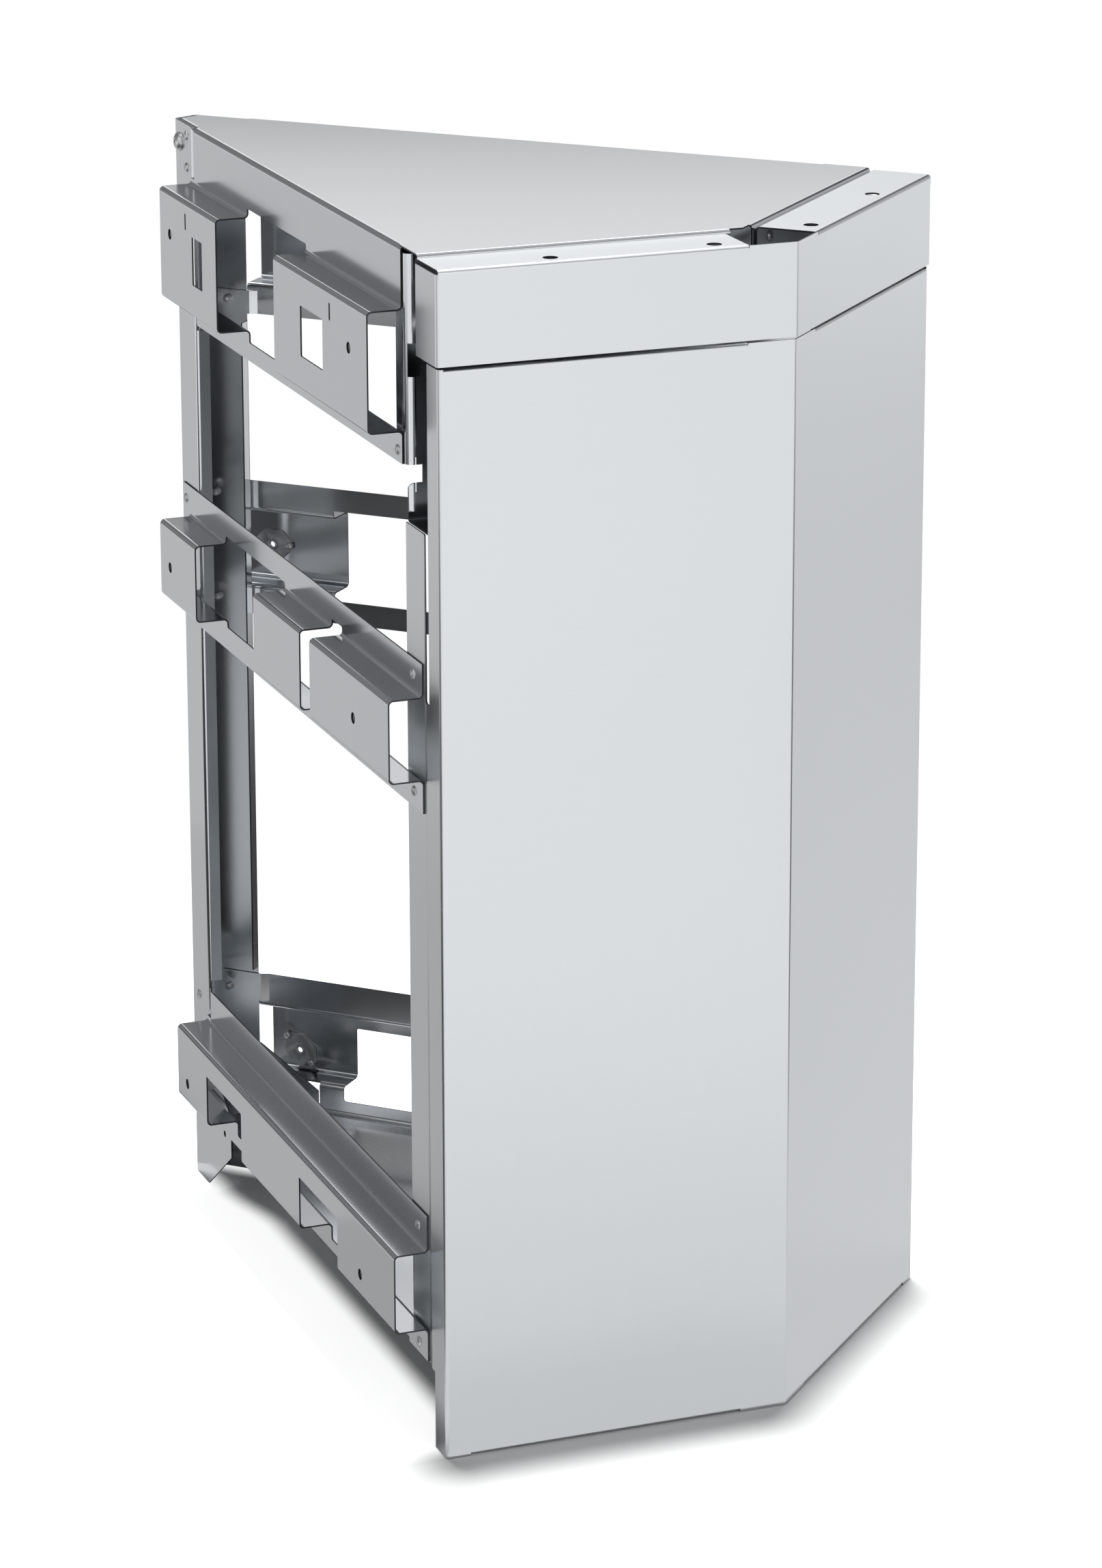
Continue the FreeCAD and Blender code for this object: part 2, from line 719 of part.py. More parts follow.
def make_bottom_panel():
    """Floor with its front lips, the lower rails and the tabs behind the post."""
    edge = flange_o - rail_bend_outer
    leg_back = panel_leg_end + corner_relief
    web_end = leg_free - foot_reach - foot_clearance
    floor_end = leg_free - corner_relief
    floor_front = panel_inset + sheet + rest_gap
    outline = across([
        plan(floor_front + bend_outer, -floor_side),
        plan(leg_back + overlap, -floor_side),
        plan(leg_back + overlap, edge),
        plan(floor_end, edge),
    ])
    outline.append(fold_point(floor_front + bend_outer))
    floor = plate(outline, floor_height, floor_height + sheet)

    flat_section = hat_section(lower_ledge + lower_flange, lower_ledge, lower_under, floor_height)
    floor_section = flat_section + [(edge - overlap, floor_height)]
    open_section = flat_section[:-2] + [(flange_o + sheet, lower_under)]
    parts = [
        side_fold(flat_section, rail_front, leg_back),
        side_fold(floor_section, leg_back, web_end),
        side_fold(open_section, web_end, lower_end),
    ]
    rear_hole = lower_end - rear_hole_setback
    notch_z = (lower_under - notch_below, lower_under + notch_height)
    near_front = front_hole + notch_offset
    near_rear = rear_hole - notch_offset
    upper_edge = lower_ledge + lower_flange
    cutters = [
        side_opening((near_front, near_front + notch_width), notch_z, bend),
        side_opening((near_rear - notch_width, near_rear), notch_z, bend),
        side_bore(front_hole, lower_hole_z, mount_hole),
        side_bore(rear_hole, lower_hole_z, mount_hole),
        block((flange_end, lower_end + cut_margin), (-cut_margin, flange_o + sheet),
              (lower_ledge + tab_relief, upper_edge + cut_margin)),
    ]
    side = joined(parts).cut(cutters)
    tab = stepped_flange([(flange_o, upper_edge), (flange_o, lower_ledge + tab_relief)], tab_end)
    side = side.fuse(tab).cut(rivet_holes())

    lip_points = [
        (floor_front, floor_height + floor_front_lip),
        (floor_front, floor_height),
        (floor_front + bend_outer + overlap, floor_height),
    ]
    lip = front_fold(lip_points, 1, floor_side, fold_run(floor_front) - corner_relief)
    return joined([floor] + both_sides(side) + both_sides(lip))


def make_apex_post():
    """Rear post with two legs, a narrow web, inner lips and flared feet."""
    line = across([
        plan(leg_free, leg_o - sheet - post_lip),
        plan(leg_free, leg_o),
        plan(web_corner, leg_o),
    ])
    post = wall(line, -1, 0, post_top)
    corner = block((leg_free - cut_margin, leg_free + post_top_corner), (-cut_margin, 0),
                   (post_top - post_top_corner, cabinet_height))
    round_corner = side_bore(leg_free + post_top_corner, post_top - post_top_corner, 2 * post_top_corner)
    cutters = both_sides(corner.cut(round_corner))
    lip_low = lower_ledge + lower_flange + corner_relief
    lip_high = upper_under - upper_skirt - corner_relief
    for span in ((-cut_margin, lip_low), (lip_high, cabinet_height)):
        lip = block((leg_free - cut_margin, leg_free + bend_outer), (-2 * cut_margin, tab_o), span)
        cutters += both_sides(lip)
    foot_front = leg_free - foot_reach
    flare_end = leg_free + bend_outer + overlap
    flare = side_plate([
        (foot_front, 0),
        (foot_front, foot_top),
        (leg_free, foot_shoulder),
        (flare_end, foot_shoulder),
        (flare_end, 0),
    ], tab_o, leg_o)
    post = joined([post.cut(cutters)] + both_sides(flare))
    ground_start = web_corner - foot_flat
    under = side_plate([
        (foot_front, foot_rise),
        (foot_front - cut_margin, foot_rise),
        (foot_front - cut_margin, -cut_margin),
        (ground_start, -cut_margin),
        (ground_start, 0),
    ], -cut_margin, 0)
    hole = side_bore(leg_free - foot_hole_reach, foot_hole_height, foot_hole)
    cutters = []
    for cutter in [under, hole, apex_screw_hole()] + rivet_holes():
        cutters += both_sides(cutter)
    return post.cut(cutters)


def turned(points):
    """Solid turned about the z axis from a chain of radius and height points; triples are arcs."""
    edges = []
    for run in points:
        lifted = [Vector(radius, 0, height) for radius, height in run]
        if len(run) == 3:
            edges.append(Part.Arc(*lifted).toShape())
        else:
            edges.append(Part.LineSegment(*lifted).toShape())
    return Part.Face(Part.Wire(edges)).revolve(Vector(0, 0, 0), UP, 360)


def blind_rivet(stack):
    """Blind rivet with its head on z = 0 and its set tail under a stack of sheets."""
    head = rivet_head / 2
    shank = rivet_shank / 2
    tail = rivet_tail / 2
    bore = rivet_bore / 2
    tail_end = -stack - rivet_tail_length
    shoulder = tail_end + tail / 2
    seat = rivet_rise * mandrel_seat
    return turned([
        [(0, seat), (bore, seat)],
        [(bore, seat), (bore, rivet_rise)],
        [(bore, rivet_rise), (head * 0.72, rivet_rise * 0.7), (head, 0)],
        [(head, 0), (shank, 0)],
        [(shank, 0), (shank, -stack)],
        [(shank, -stack), (tail, -stack)],
        [(tail, -stack), (tail, shoulder)],
        [(tail, shoulder), (tail * 0.78, shoulder - tail * 0.34), (shank / 2, tail_end)],
        [(shank / 2, tail_end), (0, tail_end)],
        [(0, tail_end), (0, seat)],
    ])


def pan_screw(head, rise, shank, length):
    """Pan-head screw with a cross recess, its head on z = 0."""
    radius = head / 2
    body = turned([
        [(0, rise), (shank / 4, rise)],
        [(shank / 4, rise), (radius * 0.72, rise * 0.72), (radius, 0)],
        [(radius, 0), (shank / 2, 0)],
        [(shank / 2, 0), (shank / 2, -length)],
        [(shank / 2, -length), (0, -length)],
        [(0, -length), (0, rise)],
    ])
    span = head * cross_recess
    width = span / 3.5
    depth = rise * 0.6
    slots = [
        Part.makeBox(span, width, rise, Vector(-span / 2, -width / 2, rise - depth)),
        Part.makeBox(width, span, rise, Vector(-width / 2, -span / 2, rise - depth)),
    ]
    return body.cut(slots)


def hex_nut(across_flats, height, bore):
    """Hexagon nut standing on z = 0."""
    radius = across_flats / math.sqrt(3)
    corners = [Vector(radius * math.cos(a), radius * math.sin(a), 0)
               for a in [math.radians(60 * k) for k in range(6)]]
    body = Part.Face(Part.makePolygon(corners + corners[:1])).extrude(Vector(0, 0, height))
    return body.cut(Part.makeCylinder(bore / 2, height, Vector(0, 0, 0), UP))


def facing_out(shape, s, o, z):
    """Stands a shape drawn about z on the side, pointing outwards."""
    placed = shape.copy()
    placed.Placement = Placement(Vector(s, o, z), Rotation(UP, Vector(0, 1, 0)))
    return placed


def facing_front(shape, s, run, z):
    """Stands a shape drawn about z on a wall behind the front, pointing forwards."""
    placed = shape.copy()
    placed.Placement = Placement(Vector(s, -run, z), Rotation(UP, Vector(-1, 0, 0)))
    return placed


def make_nut_plate():
    """Nut plate lying in x and z about its bore, with a notch for a pin at each end."""
    half = plate_length / 2
    rise = plate_width / 2
    outline = [
        (half, rise - plate_chamfer),
        (half - plate_chamfer, rise),
        (plate_chamfer - half, rise),
        (-half, rise - plate_chamfer),
        (-half, plate_chamfer - rise),
        (plate_chamfer - half, -rise),
        (half - plate_chamfer, -rise),
        (half, plate_chamfer - rise),
    ]
    corners = [Vector(x, 0, z) for x, z in outline]
    body = Part.Face(Part.makePolygon(corners + corners[:1])).extrude(Vector(0, plate_thickness, 0))
    notch = pin_shank / 2 + pin_slot_play
    bottom = pin_spacing / 2 - pin_shank / 2 - plate_float - plate_play
    cutters = [Part.makeCylinder(plate_bore / 2, plate_thickness, Vector(0, 0, 0), Vector(0, 1, 0))]
    for hand in (1, -1):
        centre = hand * (bottom + notch)
        cutters.append(Part.makeCylinder(notch, plate_thickness, Vector(centre, 0, 0), Vector(0, 1, 0)))
        low = min(centre, hand * half)
        mouth = abs(half - abs(centre))
        cutters.append(Part.makeBox(mouth, plate_thickness, 2 * notch, Vector(low, 0, -notch)))
    return body.cut(cutters)


def make_pin():
    """Retaining pin standing on z = 0, with a domed head."""
    neck = plate_thickness + 2 * plate_play
    return turned([
        [(0, 0), (pin_shank / 2, 0)],
        [(pin_shank / 2, 0), (pin_shank / 2, neck)],
        [(pin_shank / 2, neck), (pin_head / 2, neck)],
        [(pin_head / 2, neck), (pin_head * 0.4, neck + pin_rise * 0.72), (pin_shank / 4, neck + pin_rise)],
        [(pin_shank / 4, neck + pin_rise), (0, neck + pin_rise)],
        [(0, neck + pin_rise), (0, 0)],
    ])


def placed_plate(hole, height, tilt):
    """Nut plate behind a mounting hole, tilted about it; a tilted one rests on its lower pin."""
    body = make_nut_plate()
    slip = -plate_float if tilt else 0.0
    body.translate(Vector(slip, 0, 0))
    body.rotate(Vector(0, 0, 0), Vector(0, 1, 0), -tilt)
    body.translate(Vector(hole, hat_inner - plate_play - plate_thickness, height))
    return body


def placed_pins(hole, height, tilt):
    """The two retaining pins beside a mounting hole."""
    pins = []
    for hand in (1, -1):
        reach = hand * pin_spacing / 2
        s = hole + reach * math.cos(math.radians(tilt))
        z = height + reach * math.sin(math.radians(tilt))
        pin = make_pin()
        pin.Placement = Placement(Vector(s, hat_inner, z), Rotation(UP, Vector(0, -1, 0)))
        pins.append(pin)
    return pins


# Mounting holes of the left side: rail, place along it, hole, height and tilt of the nut plate
mount_places = [
    ("upper", "front", front_hole, upper_hole_z, 0.0),
    ("upper", "rear", upper_end - rear_hole_setback, upper_hole_z, 0.0),
    ("middle", "front", front_hole, middle_hole_z, 0.0),
    ("middle", "rear", middle_end - rear_hole_setback, middle_hole_z, 0.0),
    ("lower", "front", front_hole, lower_hole_z, lower_plate_tilt),
    ("lower", "rear", lower_end - rear_hole_setback, lower_hole_z, lower_plate_tilt),
]


def add_pair(nodes, name, shape):
    """Adds a left-hand node drawn in side coordinates, and its right-hand twin."""
    left, right = both_sides(shape)
    nodes[name + "_left"] = left
    nodes[name + "_right"] = right


def build():
    """Every node of the cabinet by name."""
    nodes = {
        "top_panel": make_top_panel(),
        "front_band": make_front_band(),
        "front_panel": make_front_panel(),
        "front_crossmember": make_front_crossmember(),
        "bottom_panel": make_bottom_panel(),
        "apex_post": make_apex_post(),
    }
    add_pair(nodes, "middle_rail", make_middle_rail())

    rivet = blind_rivet(grip)
    for level, spots in rivet_spots.items():
        group = Part.makeCompound([facing_out(rivet, s, o, z) for s, z, o in spots])
        add_pair(nodes, level + "_rivets", group)
    panel_rivet = blind_rivet(grip + rest_gap)
    face = cross_setback - rest_gap - sheet
    group = [facing_front(panel_rivet, face, run, z) for run, z in panel_rivet_places()]
    add_pair(nodes, "panel_rivets", Part.makeCompound(group))

    screw = pan_screw(screw_head, screw_rise, screw_shank, screw_length)
    s, z = apex_screw_spot
    add_pair(nodes, "apex_screw", facing_out(screw, s, leg_o, z))
    nut = hex_nut(nut_across, nut_height, screw_shank + 2 * rivet_clearance)
    add_pair(nodes, "apex_nut", facing_out(nut, s, tab_o - sheet - nut_height, z))
    screw = pan_screw(band_screw_head, band_screw_rise, band_screw_shank, band_screw_length)
    height = band_top - band_screw_drop
    group = [facing_front(screw, ledge_depth - sheet, run, height) for run in band_screw_runs()]
    add_pair(nodes, "band_screws", Part.makeCompound(group))

    pins = {}
    for level, end, hole, height, tilt in mount_places:
        add_pair(nodes, "nut_plate_" + level + "_" + end, placed_plate(hole, height, tilt))
        pins.setdefault(level, []).extend(placed_pins(hole, height, tilt))
    for level, group in pins.items():
        add_pair(nodes, level + "_plate_pins", Part.makeCompound(group))
    return nodes


os.makedirs("parts", exist_ok=True)
for node, shape in build().items():
    solids = shape.Solids
    print(node, len(solids), round(sum(solid.Volume for solid in solids)), shape.isValid())
    shape.exportStep("parts/" + node + ".step")
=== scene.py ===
import logging
import math
from dataclasses import dataclass, field
from enum import Enum
from typing import Any, Callable, Sequence

import bmesh
import bpy
from mathutils import Matrix, Vector


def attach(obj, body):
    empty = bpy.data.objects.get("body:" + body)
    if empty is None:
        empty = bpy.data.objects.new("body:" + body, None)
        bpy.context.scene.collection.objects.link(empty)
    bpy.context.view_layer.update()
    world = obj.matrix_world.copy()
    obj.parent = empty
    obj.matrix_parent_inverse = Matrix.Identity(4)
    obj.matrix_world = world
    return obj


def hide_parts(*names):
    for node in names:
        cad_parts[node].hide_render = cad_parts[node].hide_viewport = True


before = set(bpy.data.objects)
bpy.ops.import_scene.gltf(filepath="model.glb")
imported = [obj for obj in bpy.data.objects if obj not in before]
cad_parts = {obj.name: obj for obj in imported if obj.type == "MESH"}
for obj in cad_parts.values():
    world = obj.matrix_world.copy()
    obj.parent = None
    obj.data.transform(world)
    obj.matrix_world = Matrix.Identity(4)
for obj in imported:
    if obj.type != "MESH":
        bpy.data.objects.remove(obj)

LOG = logging.getLogger("corner_cabinet")
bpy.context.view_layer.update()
HALF_TURN = math.radians(22.5)
PHOTO_SIZE = (1614, 2296)
UP = Vector((0.0, 0.0, 1.0))
CUT_EDGE = "cut_edge"
WELD_DISTANCE = 1e-6
LEVELS = ("upper", "middle", "lower")


class Hand(Enum):
    """Side of the cabinet, as its sign along X."""

    LEFT = -1
    RIGHT = 1

    @property
    def word(self) -> str:
        """Ending of the node names on this side."""
        return self.name.lower()

    @property
    def outward(self) -> Vector:
        """Outward normal of this side's plane."""
        return Vector((self.value * math.cos(HALF_TURN), math.sin(HALF_TURN), 0.0))

    @property
    def forward(self) -> Vector:
        """Outward normal of this side's front."""
        return Vector((self.value * math.sin(HALF_TURN), -math.cos(HALF_TURN), 0.0))


class Grain(Enum):
    """Direction of the brushing lines on a sheet's upright faces."""

    LEVEL = "level"
    UPRIGHT = "upright"


class Face(Enum):
    """Way in which a fastener's head points."""

    FRONT = "front"
    SIDE = "side"


class Wire:
    """A value socket that takes part in Python expressions."""

    def __init__(self, graph: "Graph", socket: bpy.types.NodeSocket) -> None:
        """Keeps the graph and the socket."""
        self.graph = graph
        self.socket = socket

    def maths(self, operation: str, *others: Any, flip: bool = False) -> "Wire":
        """Adds a Math node.

        Args:
            operation: The Math node's operation.
            others: Further operands, numbers or wires.
            flip: Whether this wire is the second operand.

        Returns:
            The node's value.
        """
        operands = [self, *others]
        if flip:
            operands.reverse()
        node = self.graph.node("ShaderNodeMath", {"operation": operation}, dict(enumerate(operands)))
        return Wire(self.graph, node.outputs[0])

    def __add__(self, other: Any) -> "Wire":
        """This plus another."""
        return self.maths("ADD", other)

    __radd__ = __add__

    def __sub__(self, other: Any) -> "Wire":
        """This minus another."""
        return self.maths("SUBTRACT", other)

    def __rsub__(self, other: Any) -> "Wire":
        """Another minus this."""
        return self.maths("SUBTRACT", other, flip=True)

    def __mul__(self, other: Any) -> "Wire":
        """This times another."""
        return self.maths("MULTIPLY", other)

    __rmul__ = __mul__

    def __abs__(self) -> "Wire":
        """Size without sign."""
        return self.maths("ABSOLUTE")

    def between(self, low: float, high: float) -> "Wire":
        """Smooth step from 0 at low to 1 at high.

        Args:
            low: Value at which the step starts.
            high: Value at which it is full.

        Returns:
            The step's value.
        """
        settings = {"interpolation_type": "SMOOTHSTEP", "clamp": True}
        values = {"Value": self, "From Min": low, "From Max": high, "To Min": 0.0, "To Max": 1.0}
        node = self.graph.node("ShaderNodeMapRange", settings, values)
        return Wire(self.graph, node.outputs[0])


class Graph:
    """A node tree that nodes are added to by type, settings and inputs."""

    def __init__(self, tree: bpy.types.NodeTree) -> None:
        """Empties the tree."""
        self.tree = tree
        tree.nodes.clear()

    @classmethod
    def material(cls, name: str) -> tuple[bpy.types.Material, "Graph"]:
        """Makes a material.

        Args:
            name: The material's name.

        Returns:
            The material and its empty graph.
        """
        material = bpy.data.materials.new(name)
        material.use_nodes = True
        return material, cls(material.node_tree)

    def node(self, kind: str, settings: dict[str, Any] | None = None,
             inputs: dict[Any, Any] | None = None) -> bpy.types.Node:
        """Adds a node.

        Args:
            kind: The node's type.
            settings: Properties, set first.
            inputs: Values, wires or sockets by input name or index.

        Returns:
            The node.
        """
        node = self.tree.nodes.new(kind)
        for name, value in (settings or {}).items():
            setattr(node, name, value)
        for key, value in (inputs or {}).items():
            socket = node.inputs[key]
            if isinstance(value, Wire):
                self.tree.links.new(value.socket, socket)
            elif isinstance(value, bpy.types.NodeSocket):
                self.tree.links.new(value, socket)
            else:
                socket.default_value = value
        return node

    def wire(self, node: bpy.types.Node, output: Any = 0) -> Wire:
        """A node's output as a wire."""
        return Wire(self, node.outputs[output])

    def vector(self, x: Any, y: Any, z: Any) -> bpy.types.NodeSocket:
        """Combines three values into a vector."""
        return self.node("ShaderNodeCombineXYZ", None, {"X": x, "Y": y, "Z": z}).outputs[0]

    def noise(self, place: bpy.types.NodeSocket, scale: float, detail: float = 2.0) -> Wire:
        """Noise value at a place.

        Args:
            place: Vector that the noise is read at.
            scale: Noise scale.
            detail: Octaves of the noise.

        Returns:
            The noise's value, about 0 to 1.
        """
        values = {"Vector": place, "Scale": scale, "Detail": detail, "Roughness": 0.55}
        return self.wire(self.node("ShaderNodeTexNoise", None, values), "Fac")

    def tint(self, factor: Any, low: Any, high: Any) -> bpy.types.NodeSocket:
        """Mixes two colours, each three numbers or a socket.

        Args:
            factor: Share of the second colour.
            low: Colour at 0.
            high: Colour at 1.

        Returns:
            The colour socket.
        """
        ends = [c if isinstance(c, bpy.types.NodeSocket) else (*c, 1.0) for c in (low, high)]
        inputs = {0: factor, 6: ends[0], 7: ends[1]}
        return self.node("ShaderNodeMix", {"data_type": "RGBA"}, inputs).outputs[2]


@dataclass(frozen=True)
class SteelSheet:
    """Stainless sheet with fine brushing lines, soft clouds, slight waves and cut edges painted near black
    as shade.
    """

    name: str
    colour: tuple[float, float, float]
    roughness: float
    grain: Grain = Grain.LEVEL
    line_depth: float = 0.03
    cloud_depth: float = 0.03
    wave_height: float = 0.00012
    lines_per_metre: float = 1500.0
    line_stretch: float = 5.0
    # Near-black colour of the cut edges: painted shade, not the steel's own colour.
    edge_colour: tuple[float, float, float] = (0.07, 0.07, 0.074)
    edge_roughness: float = 0.3
    contrast: float = 0.28
    cloud_scale: float = 6.0
    wave_scale: float = 2.4
    level_band: tuple[float, float] = (0.5, 0.8)

    def build(self) -> bpy.types.Material:
        """Makes the material.

        Returns:
            The material with its node tree.
        """
        material, graph = Graph.material(self.name)
        place = graph.node("ShaderNodeTexCoord").outputs["Object"]
        axes = graph.node("ShaderNodeSeparateXYZ", None, {0: place})
        x, y, z = (graph.wire(axes, k) for k in range(3))
        normal = graph.node("ShaderNodeNewGeometry").outputs["Normal"]
        rise = graph.wire(graph.node("ShaderNodeSeparateXYZ", None, {0: normal}), "Z")
        level = abs(rise).between(*self.level_band)

        outward = y * math.sin(HALF_TURN) - abs(x) * math.cos(HALF_TURN)
        fine, slow = self.lines_per_metre, self.line_stretch
        if self.grain is Grain.LEVEL:
            upright_place = graph.vector(x * slow, y * slow, z * fine)
        else:
            upright_place = graph.vector(x * fine, y * fine, z * slow)
        flat_place = graph.vector(outward * fine, y * slow, z * slow)
        upright = graph.noise(upright_place, 1.0)
        flat = graph.noise(flat_place, 1.0)
        lines = upright * (1 - level) + flat * level
        clouds = graph.noise(place, self.cloud_scale, detail=3.0)
        waves = graph.noise(place, self.wave_scale, detail=1.0)

        streaks = (lines - 0.5) * (2 * self.line_depth) + (clouds - 0.5) * self.cloud_depth
        dark = tuple(c * (1 - self.contrast) for c in self.colour)
        light = tuple(min(c * (1 + self.contrast), 1.0) for c in self.colour)
        # Faces marked as cut edges get the near-black colour: painted shade standing in for the shadow on
        # the narrow edges and in the slots.
        cut = graph.wire(graph.node("ShaderNodeAttribute", {"attribute_name": CUT_EDGE}), "Fac")
        face = graph.tint(streaks + 0.5, dark, light)
        bump = graph.node("ShaderNodeBump", None, {
            "Strength": 1.0, "Distance": 1.0, "Height": waves * self.wave_height})
        shader = graph.node("ShaderNodeBsdfPrincipled", None, {
            "Base Color": graph.tint(cut, face, self.edge_colour),
            "Metallic": 1.0,
            "Roughness": streaks + cut * self.edge_roughness + self.roughness,
            "Normal": bump.outputs[0]})
        graph.node("ShaderNodeOutputMaterial", None, {"Surface": shader.outputs[0]})
        return material


@dataclass(frozen=True)
class TurnedSteel:
    """Bright steel of a fastener, with fine scratches and painted shade that darkens the hollows of its
    fine bump.
    """

    name: str
    colour: tuple[float, float, float]
    roughness: float
    speckle: float = 0.12
    roughness_spread: float = 0.2
    grit_scale: float = 900.0
    patch_scale: float = 160.0
    grit_height: float = 0.00001
    patch_height: float = 0.00002
    darkest: float = 0.6
    lightest: float = 1.35

    def build(self) -> bpy.types.Material:
        """Makes the material.

        Returns:
            The material with its node tree.
        """
        material, graph = Graph.material(self.name)
        place = graph.node("ShaderNodeTexCoord").outputs["Object"]
        grit = graph.noise(place, self.grit_scale, detail=3.0)
        patches = graph.noise(place, self.patch_scale)
        # Colour and bump share the grit and patch noise, so the low spots come out darker: painted shade in
        # the hollows.
        shade = (grit - 0.5) * self.speckle + (patches - 0.5) * self.speckle + 0.5
        dark = tuple(c * self.darkest for c in self.colour)
        light = tuple(min(c * self.lightest, 1.0) for c in self.colour)
        bump = graph.node("ShaderNodeBump", None, {
            "Strength": 0.6, "Distance": 1.0,
            "Height": grit * self.grit_height + patches * self.patch_height})
        shader = graph.node("ShaderNodeBsdfPrincipled", None, {
            "Base Color": graph.tint(shade, dark, light),
            "Metallic": 1.0,
            "Roughness": (patches - 0.5) * self.roughness_spread + self.roughness,
            "Normal": bump.outputs[0]})
        graph.node("ShaderNodeOutputMaterial", None, {"Surface": shader.outputs[0]})
        return material


class Workshop:
    """Helpers that read CAD solids and turn meshes into pieces."""

    @staticmethod
    def solids(node: str) -> list[list[Vector]]:
        """Corner points of each separate solid of a CAD node.

        Args:
            node: The CAD node's name.

        Returns:
            One list of points per solid.
        """
        bm = bmesh.new()
        bm.from_mesh(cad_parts[node].data)
        bmesh.ops.remove_doubles(bm, verts=bm.verts[:], dist=WELD_DISTANCE)
        left = set(bm.verts)
        groups = []
        while left:
            stack = [left.pop()]
            group = []
            while stack:
                vert = stack.pop()
                group.append(vert.co.copy())
                for edge in vert.link_edges:
                    other = edge.other_vert(vert)
                    if other in left:
                        left.remove(other)
                        stack.append(other)
            groups.append(group)
        bm.free()
        return groups

    @staticmethod
    def seats(node: str, axis: Vector, rise: float) -> list[Vector]:
        """Points on the fasteners' axes in the planes under their heads.

        Args:
            node: The CAD node's name.
            axis: Direction in which the heads point.
            rise: Height of the heads over their seats.

        Returns:
            One point per solid of the node.
        """
        across = axis.cross(UP).normalized()
        seats = []
        for points in Workshop.solids(node):
            top = max(p.dot(axis) for p in points)
            middles = []
            for direction in (across, UP):
                values = [p.dot(direction) for p in points]
                middles.append((min(values) + max(values)) / 2)
            seats.append(axis * (top - rise) + across * middles[0] + UP * middles[1])
        return seats

    @staticmethod
    def ring(bm: bmesh.types.BMesh, place: Callable[[float], tuple[float, float]],
             steps: int) -> list[bmesh.types.BMVert]:
        """Adds a ring of points about Z.

        Args:
            bm: The shape that gets the points.
            place: Function from the angle to radius and height.
            steps: Number of points.

        Returns:
            The points, in order round the axis.
        """
        ring = []
        for k in range(steps):
            angle = 2 * math.pi * k / steps
            radius, height = place(angle)
            ring.append(bm.verts.new((radius * math.cos(angle), radius * math.sin(angle), height)))
        return ring

    @staticmethod
    def lathe(profile: Sequence[tuple[float, float]], steps: int) -> bmesh.types.BMesh:
        """Turns a profile about Z.

        Args:
            profile: Radius and height points, from the top centre to the bottom centre.
            steps: Number of segments round the axis.

        Returns:
            The closed shape.
        """
        bm = bmesh.new()
        rings = [Workshop.ring(bm, lambda _, point=point: point, steps if point[0] > 0.0 else 1)
                 for point in profile]
        for upper, lower in zip(rings, rings[1:]):
            for k in range(steps):
                n = (k + 1) % steps
                corners = [upper[k % len(upper)], lower[k % len(lower)],
                           lower[n % len(lower)], upper[n % len(upper)]]
                unique = list(dict.fromkeys(corners))
                if len(unique) > 2:
                    bm.faces.new(unique)
        return bm

    @staticmethod
    def hoop(outline: Sequence[Callable[[float], tuple[float, float]]], steps: int) -> bmesh.types.BMesh:
        """Closes an outline into a hoop about Z.

        Args:
            outline: Functions from the angle to radius and height, in order round the section.
            steps: Number of segments round the axis.

        Returns:
            The closed hoop.
        """
        bm = bmesh.new()
        rings = [Workshop.ring(bm, place, steps) for place in outline]
        for upper, lower in zip(rings, rings[1:] + rings[:1]):
            for k in range(steps):
                n = (k + 1) % steps
                bm.faces.new((upper[k], lower[k], lower[n], upper[n]))
        return bm

    @staticmethod
    def joined(meshes: Sequence[bpy.types.Mesh], name: str) -> bpy.types.Mesh:
        """Puts meshes together into one and frees them.

        Args:
            meshes: The meshes, each already in place.
            name: Name of the new mesh.

        Returns:
            The new mesh.
        """
        bm = bmesh.new()
        for mesh in meshes:
            bm.from_mesh(mesh)
            bpy.data.meshes.remove(mesh)
        return Workshop.mesh(bm, name)

    @staticmethod
    def mesh(bm: bmesh.types.BMesh, name: str, smooth_to: float = 40.0) -> bpy.types.Mesh:
        """Closes a bmesh into a shaded mesh.

        Args:
            bm: The shape, freed here.
            name: The mesh's name.
            smooth_to: Largest angle between faces that is shaded smooth, in degrees.

        Returns:
            The mesh.
        """
        bmesh.ops.recalc_face_normals(bm, faces=bm.faces[:])
        mesh = bpy.data.meshes.new(name)
        bm.to_mesh(mesh)
        bm.free()
        mesh.shade_smooth()
        mesh.set_sharp_from_angle(angle=math.radians(smooth_to))
        return mesh

    @staticmethod
    def place(mesh: bpy.types.Mesh, name: str) -> bpy.types.Object:
        """Links a mesh to the scene.

        Args:
            mesh: The mesh.
            name: Name of the object.

        Returns:
            The object, at the origin.
        """
        obj = bpy.data.objects.new(name, mesh)
        bpy.context.scene.collection.objects.link(obj)
        return obj

    @staticmethod
    def evaluated(obj: bpy.types.Object) -> bpy.types.Mesh:
        """Takes an object's mesh as its modifiers leave it.

        Args:
            obj: The object.

        Returns:
            A new mesh.
        """
        depsgraph = bpy.context.evaluated_depsgraph_get()
        return bpy.data.meshes.new_from_object(obj.evaluated_get(depsgraph), depsgraph=depsgraph)

    @staticmethod
    def piece(obj: bpy.types.Object, body: str, slot: str, *nodes: str) -> None:
        """Hands a finished piece to the frame.

        Args:
            obj: The piece.
            body: CAD body that it moves with.
            slot: Material slot of the record; not used.
            nodes: CAD nodes that it stands for.
        """
        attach(obj, body)
        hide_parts(*nodes)
        LOG.info("piece %s: %d faces on %s", obj.name, len(obj.data.polygons), body)


